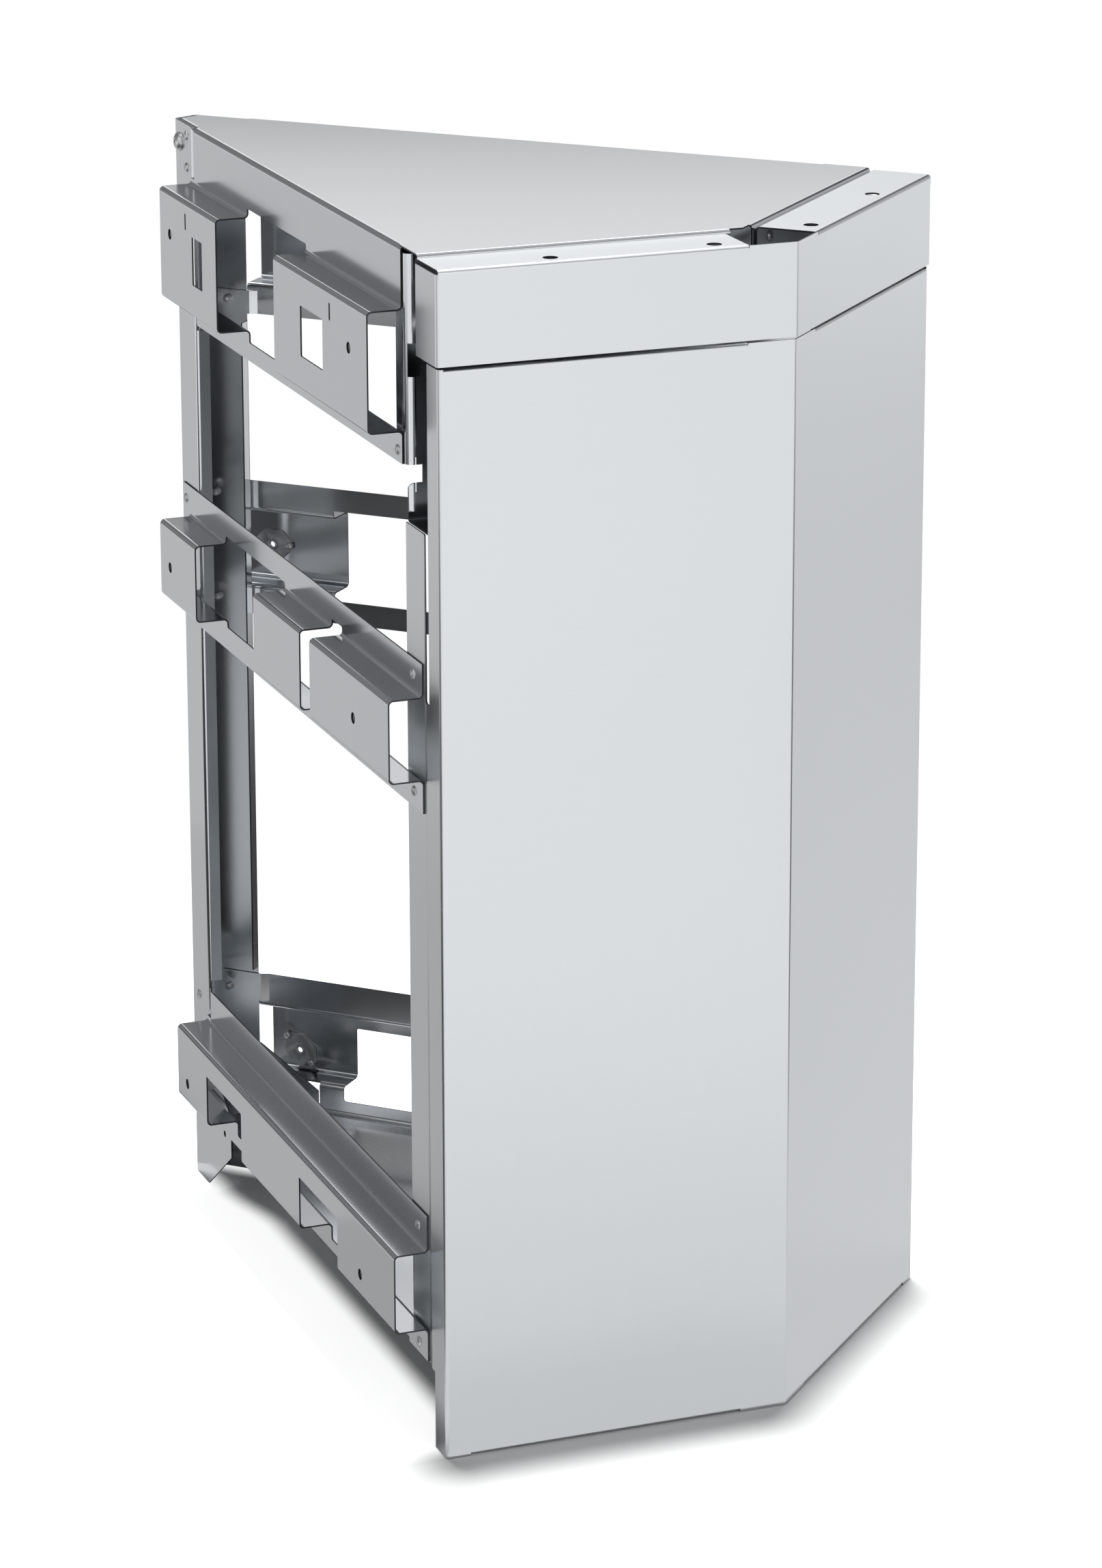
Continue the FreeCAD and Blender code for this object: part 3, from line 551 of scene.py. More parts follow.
@dataclass
class GeometryTool:
    """A Geometry Nodes tree with named inputs, put on objects as a modifier."""

    name: str
    tree: bpy.types.NodeTree = field(init=False)
    keys: dict[str, str] = field(init=False, default_factory=dict)

    def begin(self, **inputs: str) -> tuple[Graph, bpy.types.Node]:
        """Starts the tree with its inputs and a geometry output.

        Args:
            inputs: Kind of each input by its name.

        Returns:
            The graph and its input node.
        """
        self.tree = bpy.data.node_groups.new(self.name, "GeometryNodeTree")
        graph = Graph(self.tree)
        face = self.tree.interface
        for label, kind in inputs.items():
            socket = face.new_socket(label, in_out="INPUT", socket_type=f"NodeSocket{kind}")
            self.keys[label] = socket.identifier
        face.new_socket("Geometry", in_out="OUTPUT", socket_type="NodeSocketGeometry")
        return graph, graph.node("NodeGroupInput")

    def put(self, obj: bpy.types.Object, **values: Any) -> None:
        """Puts the tree on an object.

        Args:
            obj: The object.
            values: Values of the inputs by name.
        """
        modifier = obj.modifiers.new(self.name, "NODES")
        modifier.node_group = self.tree
        for label, value in values.items():
            modifier[self.keys[label]] = value


@dataclass
class FastenerTree(GeometryTool):
    """Stands a fastener on every seat point."""

    def __post_init__(self) -> None:
        """Builds the tree."""
        graph, given = self.begin(Geometry="Geometry", Fastener="Object", Finish="Material", Seed="Int")
        shape = graph.node("GeometryNodeObjectInfo", None, {"Object": given.outputs["Fastener"]})
        axis = graph.node("GeometryNodeInputNamedAttribute", {"data_type": "FLOAT_VECTOR"},
                          {"Name": "axis"})
        aim = graph.node("FunctionNodeAlignRotationToVector", {"axis": "Z"}, {"Vector": axis.outputs[0]})
        turn = graph.node("FunctionNodeRandomValue", {"data_type": "FLOAT"},
                          {3: 2 * math.pi, "Seed": given.outputs["Seed"]})
        spin = graph.node("FunctionNodeAxisAngleToRotation", None, {"Axis": UP, "Angle": turn.outputs[1]})
        both = graph.node("FunctionNodeRotateRotation", {"rotation_space": "LOCAL"},
                          {0: aim.outputs[0], 1: spin.outputs[0]})
        stood = graph.node("GeometryNodeInstanceOnPoints", None, {
            "Points": given.outputs["Geometry"], "Instance": shape.outputs["Geometry"],
            "Rotation": both.outputs[0]})
        real = graph.node("GeometryNodeRealizeInstances", None, {0: stood.outputs[0]})
        dressed = graph.node("GeometryNodeSetMaterial", None,
                             {"Geometry": real.outputs[0], "Material": given.outputs["Finish"]})
        graph.node("NodeGroupOutput", None, {0: dressed.outputs[0]})

    def stand(self, node: str, axis: Vector, rise: float, shape: bpy.types.Mesh,
              finish: bpy.types.Material, slot: str, seed: int) -> None:
        """Replaces a CAD node by one plain mesh with a fastener on each seat.

        Args:
            node: The CAD node's name.
            axis: Direction in which the heads point.
            rise: Height of the heads over their seats.
            shape: The fastener's mesh, head up.
            finish: Material of the fasteners.
            slot: Material slot of the record.
            seed: Seed of the turn about each axis.
        """
        name = f"{node}_set"
        points = bpy.data.meshes.new(f"{name}_seats")
        points.from_pydata(Workshop.seats(node, axis, rise), [], [])
        for item in points.attributes.new("axis", "FLOAT_VECTOR", "POINT").data:
            item.vector = axis
        holder = Workshop.place(points, f"{name}_seats")
        sample = Workshop.place(shape, f"{name}_sample")
        self.put(holder, Fastener=sample, Finish=finish, Seed=seed)
        mesh = Workshop.evaluated(holder)
        for used in (holder, sample):
            bpy.data.objects.remove(used)
        mesh.name = name
        Workshop.piece(Workshop.place(mesh, name), "cabinet", slot, node)


@dataclass
class EdgeTree(GeometryTool):
    """Marks the cut edges of a folded sheet."""

    skin: float = 0.0001

    def __post_init__(self) -> None:
        """Builds the tree: a face with no far wall just behind it is a cut edge."""
        graph, given = self.begin(Geometry="Geometry", Reach="Float")
        normal = graph.node("GeometryNodeInputNormal").outputs["True Normal"]
        inward = graph.node("ShaderNodeVectorMath", {"operation": "SCALE"},
                            {0: normal, "Scale": -1.0}).outputs[0]
        place = graph.node("GeometryNodeInputPosition").outputs[0]
        start = graph.node("ShaderNodeVectorMath", {"operation": "MULTIPLY_ADD"},
                           {0: inward, 1: (self.skin,) * 3, 2: place})
        ray = graph.node("GeometryNodeRaycast", None, {
            "Target Geometry": given.outputs["Geometry"], "Source Position": start.outputs[0],
            "Ray Direction": inward, "Ray Length": given.outputs["Reach"]})
        cut = 1 - graph.wire(ray, "Is Hit")
        marked = graph.node("GeometryNodeStoreNamedAttribute", {"data_type": "FLOAT", "domain": "FACE"}, {
            "Geometry": given.outputs["Geometry"], "Name": CUT_EDGE, "Value": cut})
        graph.node("NodeGroupOutput", None, {0: marked.outputs[0]})


@dataclass
class SheetWork:
    """The folded sheets, shown as they come from the frame."""

    edge_reach: float = 0.0018
    fronts: Sequence[str] = ("front_panel", "front_band")
    frames: Sequence[str] = ("top_panel", "front_crossmember", "bottom_panel", "middle_rail_left",
                             "middle_rail_right")
    posts: Sequence[str] = ("apex_post",)

    def dress(self) -> None:
        """Gives each sheet its finish and marks its cut edges by a modifier."""
        front = SteelSheet("brushed_front", (0.745, 0.771, 0.797), 0.30)
        rail = SteelSheet("satin_rail", (0.685, 0.707, 0.731), 0.16, line_depth=0.012, wave_height=0.0002)
        post = SteelSheet("satin_post", (0.685, 0.707, 0.731), 0.16, grain=Grain.UPRIGHT, line_depth=0.012,
                          wave_height=0.0002)
        edges = EdgeTree("mark_cut_edges")
        for finish, nodes in ((front, self.fronts), (rail, self.frames), (post, self.posts)):
            material = finish.build()
            for node in nodes:
                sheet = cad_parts[node]
                sheet.data.materials.clear()
                sheet.data.materials.append(material)
                edges.put(sheet, Reach=self.edge_reach)
                LOG.info("sheet %s: %s", node, material.name)


@dataclass
class Rivets:
    """Blind rivets with domed heads, mandrel stubs and set tails."""

    head: float = 0.008
    rise: float = 0.0016
    shank: float = 0.004
    tail: float = 0.006
    tail_length: float = 0.004
    mandrel: float = 0.0018
    frame_stack: float = 0.0024
    panel_stack: float = 0.0027
    steps: int = 28
    first_seed: int = 1

    def shape(self, stack: float) -> bpy.types.Mesh:
        """Mesh of one rivet.

        Args:
            stack: Thickness of the sheets that it holds.

        Returns:
            The mesh, head up, seat at the origin.
        """
        head, rise, pin = self.head / 2, self.rise, self.mandrel / 2
        tail, shank = self.tail / 2, self.shank / 2
        end = -stack - self.tail_length
        profile = [(0.0, rise * 0.42), (pin * 0.8, rise * 0.36), (pin, rise * 0.25),
                   (pin * 1.02, rise * 0.86), (pin * 1.25, rise), (head * 0.5, rise * 0.93),
                   (head * 0.72, rise * 0.72), (head * 0.88, rise * 0.42), (head * 0.97, rise * 0.2),
                   (head, rise * 0.1), (head, 0.0), (shank, 0.0), (shank, -stack), (tail * 0.9, -stack),
                   (tail, -stack - tail * 0.25), (tail, end + tail * 0.5),
                   (tail * 0.8, end + tail * 0.18), (tail * 0.42, end), (0.0, end)]
        return Workshop.mesh(Workshop.lathe(profile, self.steps), "rivet_sample")

    def build(self, tree: FastenerTree, finish: bpy.types.Material) -> None:
        """Stands a rivet at every rivet of the frame.

        Args:
            tree: The tree that stands fasteners.
            finish: Material of the rivets.
        """
        for hand in Hand:
            for seed, group in enumerate(("top", "middle", "bottom", "panel"), self.first_seed):
                axis, stack = hand.outward, self.frame_stack
                if group == "panel":
                    axis, stack = hand.forward, self.panel_stack
                node = f"{group}_rivets_{hand.word}"
                tree.stand(node, axis, self.rise, self.shape(stack), finish, "rivet_steel", seed)


@dataclass
class ThreadTree(GeometryTool):
    """Winds a thread along Z."""

    turn_steps: int = 24
    ridge_sides: int = 4

    def __post_init__(self) -> None:
        """Builds the tree."""
        graph, given = self.begin(Radius="Float", Height="Float", Pitch="Float", Ridge="Float",
                                  Finish="Material")
        turns = graph.wire(given, "Height").maths("DIVIDE", graph.wire(given, "Pitch"))
        coil = graph.node("GeometryNodeCurveSpiral", None, {
            "Resolution": self.turn_steps, "Rotations": turns, "Start Radius": given.outputs["Radius"],
            "End Radius": given.outputs["Radius"], "Height": given.outputs["Height"]})
        ridge = graph.node("GeometryNodeCurvePrimitiveCircle", None,
                           {"Resolution": self.ridge_sides, "Radius": given.outputs["Ridge"]})
        wound = graph.node("GeometryNodeCurveToMesh", None, {
            "Curve": coil.outputs[0], "Profile Curve": ridge.outputs[0], "Fill Caps": True})
        dressed = graph.node("GeometryNodeSetMaterial", None,
                             {"Geometry": wound.outputs[0], "Material": given.outputs["Finish"]})
        graph.node("NodeGroupOutput", None, {0: dressed.outputs[0]})

    def wind(self, radius: float, height: float, pitch: float, ridge: float,
             finish: bpy.types.Material) -> bpy.types.Mesh:
        """Winds one thread.

        Args:
            radius: Radius of the thread's line.
            height: Length along Z.
            pitch: Rise of one turn.
            ridge: Half width of the ridge.
            finish: Material of the thread.

        Returns:
            The thread's mesh, from the origin upwards.
        """
        holder = Workshop.place(bpy.data.meshes.new("thread_holder"), "thread_holder")
        self.put(holder, Radius=radius, Height=height, Pitch=pitch, Ridge=ridge, Finish=finish)
        mesh = Workshop.evaluated(holder)
        bpy.data.objects.remove(holder)
        return mesh


@dataclass
class Pins:
    """Domed retaining pins that carry the nut plates."""

    shank: float = 0.0032
    head: float = 0.0064
    neck: float = 0.0023
    rise: float = 0.002
    steps: int = 24
    first_seed: int = 11

    def build(self, tree: FastenerTree, finish: bpy.types.Material) -> None:
        """Stands a pin at every pin of the frame.

        Args:
            tree: The tree that stands fasteners.
            finish: Material of the pins.
        """
        shank, head, neck, rise = self.shank / 2, self.head / 2, self.neck, self.rise
        profile = [(0.0, neck + rise), (head * 0.3, neck + rise * 0.97), (head * 0.62, neck + rise * 0.8),
                   (head * 0.86, neck + rise * 0.48), (head * 0.98, neck + rise * 0.16), (head, neck),
                   (shank, neck), (shank, shank * 0.25), (shank, 0.0), (0.0, 0.0)]
        for hand in Hand:
            for seed, level in enumerate(LEVELS, self.first_seed):
                node = f"{level}_plate_pins_{hand.word}"
                shape = Workshop.mesh(Workshop.lathe(profile, self.steps), "pin_sample")
                tree.stand(node, -hand.outward, neck + rise, shape, finish, "pin_steel", seed)


@dataclass
class Screws:
    """Pan-head screws with a cross recess and a wound thread."""

    head: float
    rise: float
    shank: float
    length: float
    pitch: float
    core_share: float = 0.42
    ridge_share: float = 0.36
    thread_share: float = 0.74
    thread_end: float = 0.93
    steps: int = 40
    first_seed: int = 21

    def blank(self) -> bpy.types.Mesh:
        """Turned head and core of the screw, seat at the origin."""
        radius, rise, core = self.head / 2, self.rise, self.shank * self.core_share
        end = -self.length
        profile = [(0.0, rise), (radius * 0.35, rise * 0.97), (radius * 0.62, rise * 0.84),
                   (radius * 0.83, rise * 0.58), (radius * 0.95, rise * 0.28), (radius, rise * 0.1),
                   (radius * 0.98, 0.0), (self.shank / 2, 0.0), (self.shank / 2, end * 0.12),
                   (core, end * 0.18), (core, end * self.thread_end), (core * 0.6, end), (0.0, end)]
        return Workshop.mesh(Workshop.lathe(profile, self.steps), "screw_blank")

    def cutter(self) -> bpy.types.Mesh:
        """Tapered cross that sinks the recess into the head."""
        bm = bmesh.new()
        for turn in (0.0, math.pi / 2):
            made = bmesh.ops.create_cube(bm, size=1.0)["verts"]
            for vert in made:
                taper = 1.0 if vert.co.z > 0 else 0.5
                vert.co.x *= self.head * 0.46 * taper
                vert.co.y *= self.head * 0.1 * (0.5 + taper / 2)
                vert.co.z = self.rise * (1.3 if vert.co.z > 0 else 0.3)
            bmesh.ops.rotate(bm, verts=made, matrix=Matrix.Rotation(turn, 3, "Z"))
        return Workshop.mesh(bm, "screw_cutter")

    def shape(self, threads: ThreadTree, finish: bpy.types.Material) -> bpy.types.Mesh:
        """Mesh of one screw.

        Args:
            threads: The tree that winds threads.
            finish: Material of the screw.

        Returns:
            The mesh, head up, seat at the origin.
        """
        holder = Workshop.place(self.blank(), "screw_blank")
        tool = Workshop.place(self.cutter(), "screw_cutter")
        sink = holder.modifiers.new("sink", "BOOLEAN")
        sink.operation, sink.solver, sink.use_self, sink.object = "DIFFERENCE", "EXACT", True, tool
        body = Workshop.evaluated(holder)
        for used in (holder, tool):
            bpy.data.objects.remove(used)
        ridge = self.pitch * self.ridge_share
        wound = self.length * self.thread_share
        coil = threads.wind(self.shank / 2 - ridge, wound, self.pitch, ridge, finish)
        coil.transform(Matrix.Translation((0.0, 0.0, -self.length * self.thread_end)))
        return Workshop.joined((body, coil), "screw_sample")

    def build(self, group: str, facing: Face, tree: FastenerTree, threads: ThreadTree,
              finish: bpy.types.Material) -> None:
        """Stands a screw at every screw of a group.

        Args:
            group: First words of the CAD nodes' names.
            facing: Way in which the heads point.
            tree: The tree that stands fasteners.
            threads: The tree that winds threads.
            finish: Material of the screws.
        """
        for seed, hand in enumerate(Hand, self.first_seed):
            axis = hand.forward if facing is Face.FRONT else hand.outward
            shape = self.shape(threads, finish)
            tree.stand(f"{group}_{hand.word}", axis, self.rise, shape, finish, "screw_steel", seed)


@dataclass
class Nuts:
    """Hexagon nuts with bevelled corners and a threaded bore."""

    across: float = 0.010
    height: float = 0.005
    bore: float = 0.0062
    pitch: float = 0.001
    flat_share: float = 0.48
    sink_share: float = 0.06
    bevel: float = math.radians(30.0)
    smooth_to: float = 25.0
    thread_share: float = 0.8
    ridge_share: float = 0.09
    steps: int = 48
    first_seed: int = 31

    def reach(self, angle: float) -> float:
        """Radius of the hexagon.

        Args:
            angle: Angle about the axis.

        Returns:
            The radius at that angle.
        """
        sixth = math.pi / 3
        return self.across / 2 / math.cos((angle + sixth / 2) % sixth - sixth / 2)

    def shape(self, threads: ThreadTree, finish: bpy.types.Material) -> bpy.types.Mesh:
        """Mesh of one nut.

        Args:
            threads: The tree that winds threads.
            finish: Material of the nut.

        Returns:
            The mesh, standing on the origin.
        """
        flat, sink = self.across * self.flat_share, self.bore * self.sink_share
        bore, height, slope = self.bore / 2, self.height, math.tan(self.bevel)
        outline = (
            lambda a: (bore, sink), lambda a: (bore + sink, 0.0), lambda a: (flat, 0.0),
            lambda a: (self.reach(a), (self.reach(a) - flat) * slope),
            lambda a: (self.reach(a), height - (self.reach(a) - flat) * slope),
            lambda a: (flat, height), lambda a: (bore + sink, height), lambda a: (bore, height - sink))
        body = Workshop.mesh(Workshop.hoop(outline, self.steps), "nut_body", self.smooth_to)
        length = height * self.thread_share
        coil = threads.wind(bore, length, self.pitch, self.pitch * self.ridge_share, finish)
        coil.transform(Matrix.Translation((0.0, 0.0, (height - length) / 2)))
        return Workshop.joined((body, coil), "nut_sample")

    def build(self, tree: FastenerTree, threads: ThreadTree, finish: bpy.types.Material) -> None:
        """Puts a nut behind each rear screw.

        Args:
            tree: The tree that stands fasteners.
            threads: The tree that winds threads.
            finish: Material of the nuts.
        """
        for seed, hand in enumerate(Hand, self.first_seed):
            node, shape = f"apex_nut_{hand.word}", self.shape(threads, finish)
            tree.stand(node, hand.outward, self.height, shape, finish, "screw_steel", seed)


@dataclass
class NutPlates:
    """Floating nut plates with softened edges, a drawn collar and a thread."""

    bore: float = 0.005
    collar: float = 0.0086
    rise: float = 0.0011
    thickness: float = 0.002
    edge: float = 0.0003
    root: float = 0.0004
    pitch: float = 0.0008
    ridge_share: float = 0.2
    thread_share: float = 0.6
    flat_angle: float = math.radians(1.0)
    edge_angle: float = math.radians(60.0)
    steps: int = 40

    def plate(self, node: str) -> bpy.types.Mesh:
        """The CAD plate with its edges softened.

        Args:
            node: The CAD node's name.

        Returns:
            The mesh in place.
        """
        bm = bmesh.new()
        bm.from_mesh(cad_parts[node].data)
        bmesh.ops.remove_doubles(bm, verts=bm.verts[:], dist=WELD_DISTANCE)
        bmesh.ops.dissolve_limit(bm, angle_limit=self.flat_angle, verts=bm.verts[:], edges=bm.edges[:])
        sharp = [e for e in bm.edges if len(e.link_faces) == 2 and e.calc_face_angle(0.0) > self.edge_angle]
        bmesh.ops.bevel(bm, geom=sharp, offset=self.edge, offset_type="OFFSET", segments=2, profile=0.5,
                        affect="EDGES", clamp_overlap=True)
        return Workshop.mesh(bm, "plate_body")

    def neck(self) -> bpy.types.Mesh:
        """The drawn collar round the bore, its foot at the origin."""
        bore, collar, rise, foot = self.bore / 2, self.collar / 2, self.rise, -self.root
        section = ((bore, foot), (bore, rise * 0.86), (bore * 1.1, rise), (collar * 0.82, rise),
                   (collar * 0.94, rise * 0.7), (collar, rise * 0.25), (collar * 1.12, foot))
        outline = tuple(lambda a, point=point: point for point in section)
        return Workshop.mesh(Workshop.hoop(outline, self.steps), "plate_collar")

    def build(self, threads: ThreadTree, finish: bpy.types.Material) -> None:
        """Makes every nut plate of the frame.

        Args:
            threads: The tree that winds threads.
            finish: Material of the plates.
        """
        for hand in Hand:
            axis = -hand.outward
            stand = axis.to_track_quat("Z", "Y").to_matrix().to_4x4()
            for level in LEVELS:
                for end in ("front", "rear"):
                    node = f"nut_plate_{level}_{end}_{hand.word}"
                    seat = Matrix.Translation(Workshop.seats(node, axis, 0.0)[0]) @ stand
                    collar = self.neck()
                    collar.transform(seat)
                    length = self.thickness + self.rise * self.thread_share
                    ridge = self.pitch * self.ridge_share
                    coil = threads.wind(self.bore / 2, length, self.pitch, ridge, finish)
                    coil.transform(seat @ Matrix.Translation((0.0, 0.0, -self.thickness)))
                    mesh = Workshop.joined((self.plate(node), collar, coil), f"{node}_set")
                    mesh.materials.clear()
                    mesh.materials.append(finish)
                    Workshop.piece(Workshop.place(mesh, f"{node}_set"), node, "nut_plate_steel", node)


@dataclass
class Camera:
    """Camera fitted to the photograph."""

    focal_px: float = 7914.4
    pitch: float = math.radians(15.413)
    roll: float = math.radians(-0.139)
    yaw: float = math.radians(43.448)
    place: tuple[float, float, float] = (-2.6649, -2.8953, 1.6386)
    shift: float = 0.12
    sensor_mm: float = 36.0
    sight: float = 100.0

    def build(self) -> None:
        """Makes the camera and sets it as the scene's."""
        data = bpy.data.cameras.new("photo_camera")
        data.sensor_fit = "AUTO"
        data.sensor_width = self.sensor_mm
        data.lens = self.focal_px / max(PHOTO_SIZE) * data.sensor_width
        data.shift_y = -self.shift
        data.clip_end = self.sight
        camera = bpy.data.objects.new("photo_camera", data)
        level = math.cos(self.pitch)
        ahead = Vector((math.sin(self.yaw) * level, math.cos(self.yaw) * level, -math.sin(self.pitch)))
        right = Vector((math.cos(self.yaw), -math.sin(self.yaw), 0.0))
        over = right.cross(ahead)
        turned_right = right * math.cos(self.roll) + over * math.sin(self.roll)
        turned_over = over * math.cos(self.roll) - right * math.sin(self.roll)
        columns = Matrix((turned_right, turned_over, -ahead)).transposed()
        camera.matrix_world = Matrix.Translation(self.place) @ columns.to_4x4()
        bpy.context.scene.collection.objects.link(camera)
        bpy.context.scene.camera = camera


@dataclass(frozen=True)
class Lamp:
    """A soft square lamp that points at a target."""

    name: str
    place: tuple[float, float, float]
    target: tuple[float, float, float]
    size: tuple[float, float]
    power: float

    def build(self) -> None:
        """Makes the lamp."""
        data = bpy.data.lights.new(self.name, "AREA")
        data.shape = "RECTANGLE"
        data.size, data.size_y = self.size
        data.energy = self.power
        lamp = bpy.data.objects.new(self.name, data)
        aim = Vector(self.target) - Vector(self.place)
        lamp.rotation_euler = aim.to_track_quat("-Z", "Y").to_euler()
        lamp.location = self.place
        bpy.context.scene.collection.objects.link(lamp)


@dataclass(frozen=True)
class Card:
    """A flat studio card that only shiny surfaces see."""

    name: str
    brightness: float
    corners: tuple[tuple[float, float, float], ...]

    @classmethod
    def flat(cls, name: str, brightness: float, height: float, *points: tuple[float, float]) -> "Card":
        """Describes a card that lies level.

        Args:
            name: The card's name.
            brightness: Strength of its glow.
            height: Its height over the ground.
            points: Its corners in plan.

        Returns:
            The card.
        """
        return cls(name, brightness, tuple((x, y, height) for x, y in points))

    @classmethod
    def upright(cls, name: str, brightness: float, start: tuple[float, float], end: tuple[float, float],
                low: float, high: float) -> "Card":
        """Describes a card that stands upright.

        Args:
            name: The card's name.
            brightness: Strength of its glow.
            start: One end in plan.
            end: The other end in plan.
            low: Height of its lower edge.
            high: Height of its upper edge.

        Returns:
            The card.
        """
        return cls(name, brightness, ((*start, low), (*end, low), (*end, high), (*start, high)))

    def build(self) -> None:
        """Makes the card."""
        mesh = bpy.data.meshes.new(self.name)
        mesh.from_pydata(self.corners, [], [tuple(range(len(self.corners)))])
        material, graph = Graph.material(self.name)
        graph.node("ShaderNodeOutputMaterial", None, {"Surface": Studio.glow(graph, self.brightness)})
        mesh.materials.append(material)
        card = Workshop.place(mesh, self.name)
        card.visible_camera = False
        card.visible_diffuse = False
        card.visible_shadow = False


@dataclass
class Studio:
    """White floor, grey surround, soft lamps and a few reflection cards."""

    floor_half: float = 14.0
    floor_drop: float = 0.0004
    floor_lit: float = 0.72
    floor_seen: float = 0.92
    shadow_reach: tuple[float, float] = (0.6, 1.3)
    shadow_fill: float = 0.02
    # Glow of the floor band beside the sides: painted light over the shadow under the cabinet.
    side_fill: float = 0.85
    side_out: float = 0.141
    front_out: float = 0.3077
    side_band: tuple[float, float] = (-0.04, -0.016)
    foot_band: tuple[float, float] = (0.19, 0.28)
    foot_step: float = 0.015
    front_band: tuple[float, float] = (0.0, 0.03)
    surround: float = 0.12
    overhead: float = 2.9
    overhead_width: float = math.radians(3.0)
    overhead_tilt: tuple[float, float] = (math.radians(-1.8), math.radians(1.6))
    lamps: Sequence[Lamp] = (
        Lamp("front_lamp", (-1.5, -2.5, 1.8), (0.0, 0.0, 0.3), (2.0, 2.0), 12.0),
    )
    cards: Sequence[Card] = (
        Card.flat("grey_card_beside", 0.44, 0.0, (-0.3, -0.12), (-0.25, -0.12), (-0.07, 0.245),
                  (-0.3, 0.25)),
        Card.flat("grey_card_near", 0.53, 0.0, (-0.07, 0.245), (-0.02, 0.345), (0.5, 0.45), (0.6, 1.25),
                  (-1.1, 1.25), (-0.8, 0.27), (-0.3, 0.25)),
        Card.flat("dark_card_foot", 0.03, 0.001, (-0.04, 0.47), (0.3, 0.47), (0.3, 0.75), (0.075, 0.75)),
        Card.flat("grey_card_behind", 0.6, 0.0, (-1.1, 1.25), (0.6, 1.25), (1.4, 8.0), (-1.9, 8.0)),
        Card.upright("grey_card_low", 0.27, (-1.6, 3.6), (1.1, 3.6), 0.9, 1.54),
        Card.upright("grey_card_middle", 0.09, (-1.6, 3.6), (1.1, 3.6), 1.54, 1.72),
        Card.upright("grey_card_high", 0.25, (-1.6, 3.6), (1.1, 3.6), 1.72, 2.6),
        Card.flat("dark_card_left", 0.04, 0.001, (-3.6, -0.6), (-0.33, -0.1), (-0.3, 0.25), (-0.45, 0.4),
                  (-0.45, 1.6), (-3.6, 1.6)),
        Card("pale_card_left", 0.9, ((-3.4, -1.5, 1.1), (-3.4, 2.5, 1.1), (-3.0, 2.5, 3.6),
                                     (-3.0, -1.5, 3.6))),
        Card.flat("pale_card_right", 0.76, 0.001, (0.3, -0.6), (3.8, -1.3), (3.8, 0.4), (0.3, -0.08)),
        Card.flat("dark_card_right", 0.05, 0.001, (0.3, -0.05), (3.8, 0.45), (3.8, 3.8), (1.0, 3.8),
                  (0.62, 0.5)),
        Card.flat("dark_card_front", 0.05, 0.001, (0.25, -0.8), (0.7, -3.0), (3.0, -3.0), (3.0, -1.3),
                  (0.5, -0.72)),
        Card.flat("pale_card_foot", 0.72, 0.001, (-0.25, -0.229), (0.0, -0.334), (0.25, -0.229),
                  (0.3, -0.209), (0.3, -0.6), (0.061, -0.482), (-0.061, -0.482), (-0.311, -0.377)),
        Card.upright("pale_card_back", 0.97, (1.5, 3.2), (3.0, 1.7), 1.45, 4.4),
        Card.upright("pale_card_front", 0.9, (-1.6, -3.4), (1.4, -3.4), 0.5, 3.4),
        Card("pale_card_corner", 0.7, ((1.4, -3.4, 1.6), (3.4, -1.6, 1.6), (3.4, -1.6, 3.2),
                                       (1.4, -3.4, 3.4))),
        Card.upright("pale_card_side", 0.5, (3.4, -1.6), (3.4, 0.3), 0.5, 3.0),
        Card.upright("dark_card_back", 0.04, (1.5, 3.2), (3.0, 1.7), 0.3, 1.45),
        Card.upright("dark_card_side", 0.04, (3.0, 1.7), (3.4, 0.4), 0.3, 2.2),
        Card.flat("pale_card_above", 0.55, 4.2, (-2.0, -3.0), (2.6, -3.0), (2.6, 1.6), (-2.0, 1.6)),
        Card("bright_card_back", 2.4, ((1.3, 3.0, 2.7), (2.8, 1.5, 2.7), (2.2, 0.9, 4.6), (0.7, 2.4, 4.6))),
    )

    def build(self) -> None:
        """Sets up floor, world, lamps, cards and view."""
        self.floor()
        self.world()
        self.overhead_lamp()
        for light in (*self.lamps, *self.cards):
            light.build()
        bpy.context.scene.view_settings.view_transform = "Standard"

    def overhead_lamp(self) -> None:
        """Makes the far overhead lamp that gives the tight shadow round the base."""
        data = bpy.data.lights.new("overhead_lamp", "SUN")
        data.energy = self.overhead
        data.angle = self.overhead_width
        lamp = bpy.data.objects.new("overhead_lamp", data)
        lamp.rotation_euler = (*self.overhead_tilt, 0.0)
        bpy.context.scene.collection.objects.link(lamp)

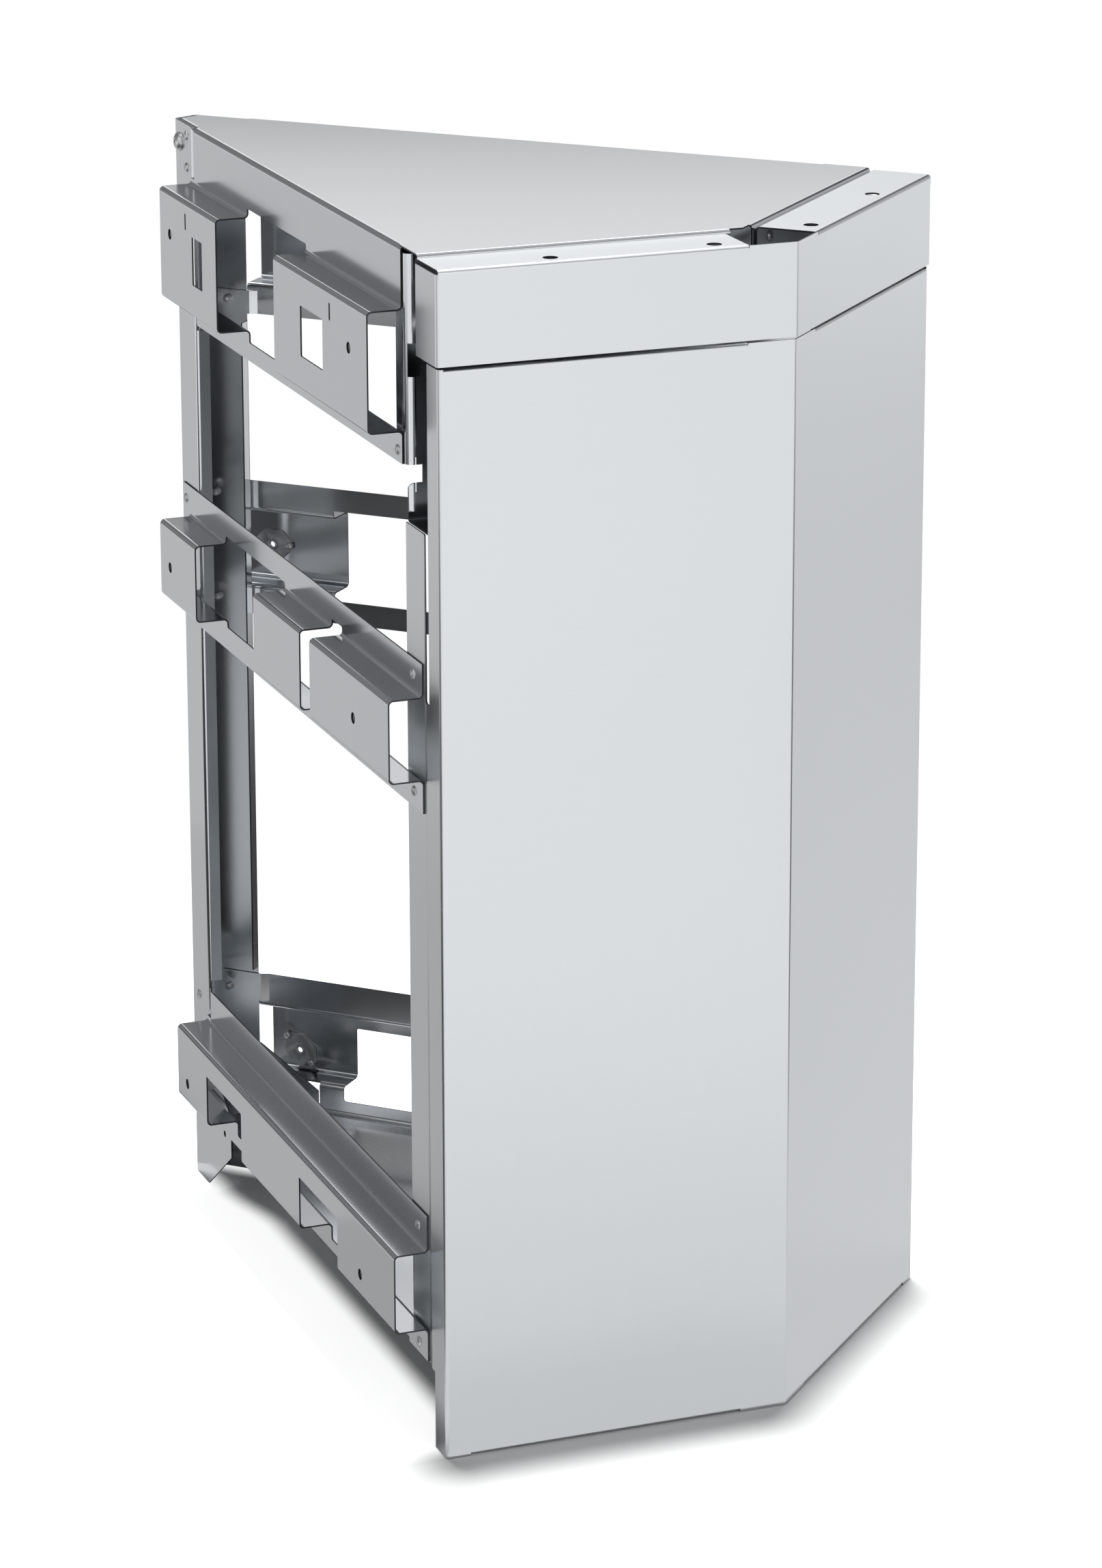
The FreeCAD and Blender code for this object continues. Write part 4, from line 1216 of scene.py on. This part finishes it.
    def floor(self) -> None:
        """Makes the pale floor, white in view and in reflections outside the shadow, with painted light
        that lifts the shadow in a band beside the sides.
        """
        bm = bmesh.new()
        bmesh.ops.create_grid(bm, x_segments=2, y_segments=2, size=self.floor_half)
        floor = Workshop.place(Workshop.mesh(bm, "floor"), "floor")
        floor.data.transform(Matrix.Translation((0.0, 0.0, -self.floor_drop)))
        material, graph = Graph.material("pale_floor")
        path = graph.node("ShaderNodeLightPath")
        rays = ("Camera", "Glossy", "Transmission")
        camera, shiny, clear = (graph.wire(path, f"Is {ray} Ray") for ray in rays)
        shown = camera.maths("MAXIMUM", shiny).maths("MAXIMUM", clear)
        place = graph.node("ShaderNodeTexCoord").outputs["Object"]
        length = graph.node("ShaderNodeVectorMath", {"operation": "LENGTH"}, {0: place})
        far = graph.wire(length, "Value").between(*self.shadow_reach)
        split = graph.node("ShaderNodeSeparateXYZ", None, {0: place})
        across, back = abs(graph.wire(split, "X")), graph.wire(split, "Y")
        cos, sin = math.cos(HALF_TURN), math.sin(HALF_TURN)
        foot = back.between(*self.foot_band) * self.foot_step
        outside = across * cos + back * sin - self.side_out - foot
        behind = back * cos - across * sin + self.front_out
        # In a narrow band beside the sides the floor glows at side_fill, painted light that lifts the
        # shadow under the cabinet; elsewhere near the base it glows only at shadow_fill.
        beside = outside.between(*self.side_band) * behind.between(*self.front_band)
        plain, pale = (graph.node("ShaderNodeBsdfDiffuse", None, {"Color": (level, level, level, 1.0)})
                       for level in (self.floor_lit, self.floor_seen))
        low, high, white = (self.glow(graph, level) for level in (self.shadow_fill, self.side_fill, 1.0))
        fill = graph.node("ShaderNodeMixShader", None, {0: beside, 1: low, 2: high})
        lit = graph.node("ShaderNodeAddShader", None, {0: pale.outputs[0], 1: fill.outputs[0]})
        near = graph.node("ShaderNodeMixShader", None, {0: camera, 1: plain.outputs[0], 2: lit.outputs[0]})
        view = graph.node("ShaderNodeMixShader", None, {0: far, 1: near.outputs[0], 2: white})
        mixed = graph.node("ShaderNodeMixShader", None, {0: shown, 1: plain.outputs[0], 2: view.outputs[0]})
        graph.node("ShaderNodeOutputMaterial", None, {"Surface": mixed.outputs[0]})
        floor.data.materials.append(material)

    @staticmethod
    def glow(graph: Graph, strength: float) -> bpy.types.NodeSocket:
        """Adds a white glow.

        Args:
            graph: The graph that gets it.
            strength: Its strength.

        Returns:
            The shader socket.
        """
        node = graph.node("ShaderNodeEmission", None, {"Color": (1.0, 1.0, 1.0, 1.0), "Strength": strength})
        return node.outputs[0]

    def world(self) -> None:
        """Makes the even grey surround above the floor."""
        world = bpy.data.worlds.new("surround")
        world.use_nodes = True
        graph = Graph(world.node_tree)
        light = graph.node("ShaderNodeBackground", None,
                           {"Color": (1.0, 1.0, 1.0, 1.0), "Strength": self.surround})
        graph.node("ShaderNodeOutputWorld", None, {"Surface": light.outputs[0]})
        bpy.context.scene.world = world


def main() -> None:
    """Builds the cabinet's looks and its studio."""
    logging.basicConfig(level=logging.INFO)
    Camera().build()
    Studio().build()
    SheetWork().dress()
    tree = FastenerTree("stand_fasteners")
    threads = ThreadTree("wind_threads")
    Rivets().build(tree, TurnedSteel("rivet_finish", (0.76, 0.78, 0.80), 0.42).build())
    Pins().build(tree, TurnedSteel("pin_finish", (0.60, 0.61, 0.62), 0.32).build())
    bright = TurnedSteel("screw_finish", (0.76, 0.78, 0.80), 0.36).build()
    large = Screws(head=0.015, rise=0.0042, shank=0.006, length=0.014, pitch=0.001)
    large.build("apex_screw", Face.SIDE, tree, threads, bright)
    small = Screws(head=0.008, rise=0.0026, shank=0.004, length=0.009, pitch=0.0007)
    small.build("band_screws", Face.FRONT, tree, threads, bright)
    Nuts().build(tree, threads, bright)
    NutPlates().build(threads, TurnedSteel("nut_plate_finish", (0.45, 0.46, 0.47), 0.36).build())


if __name__ == "__main__":
    main()
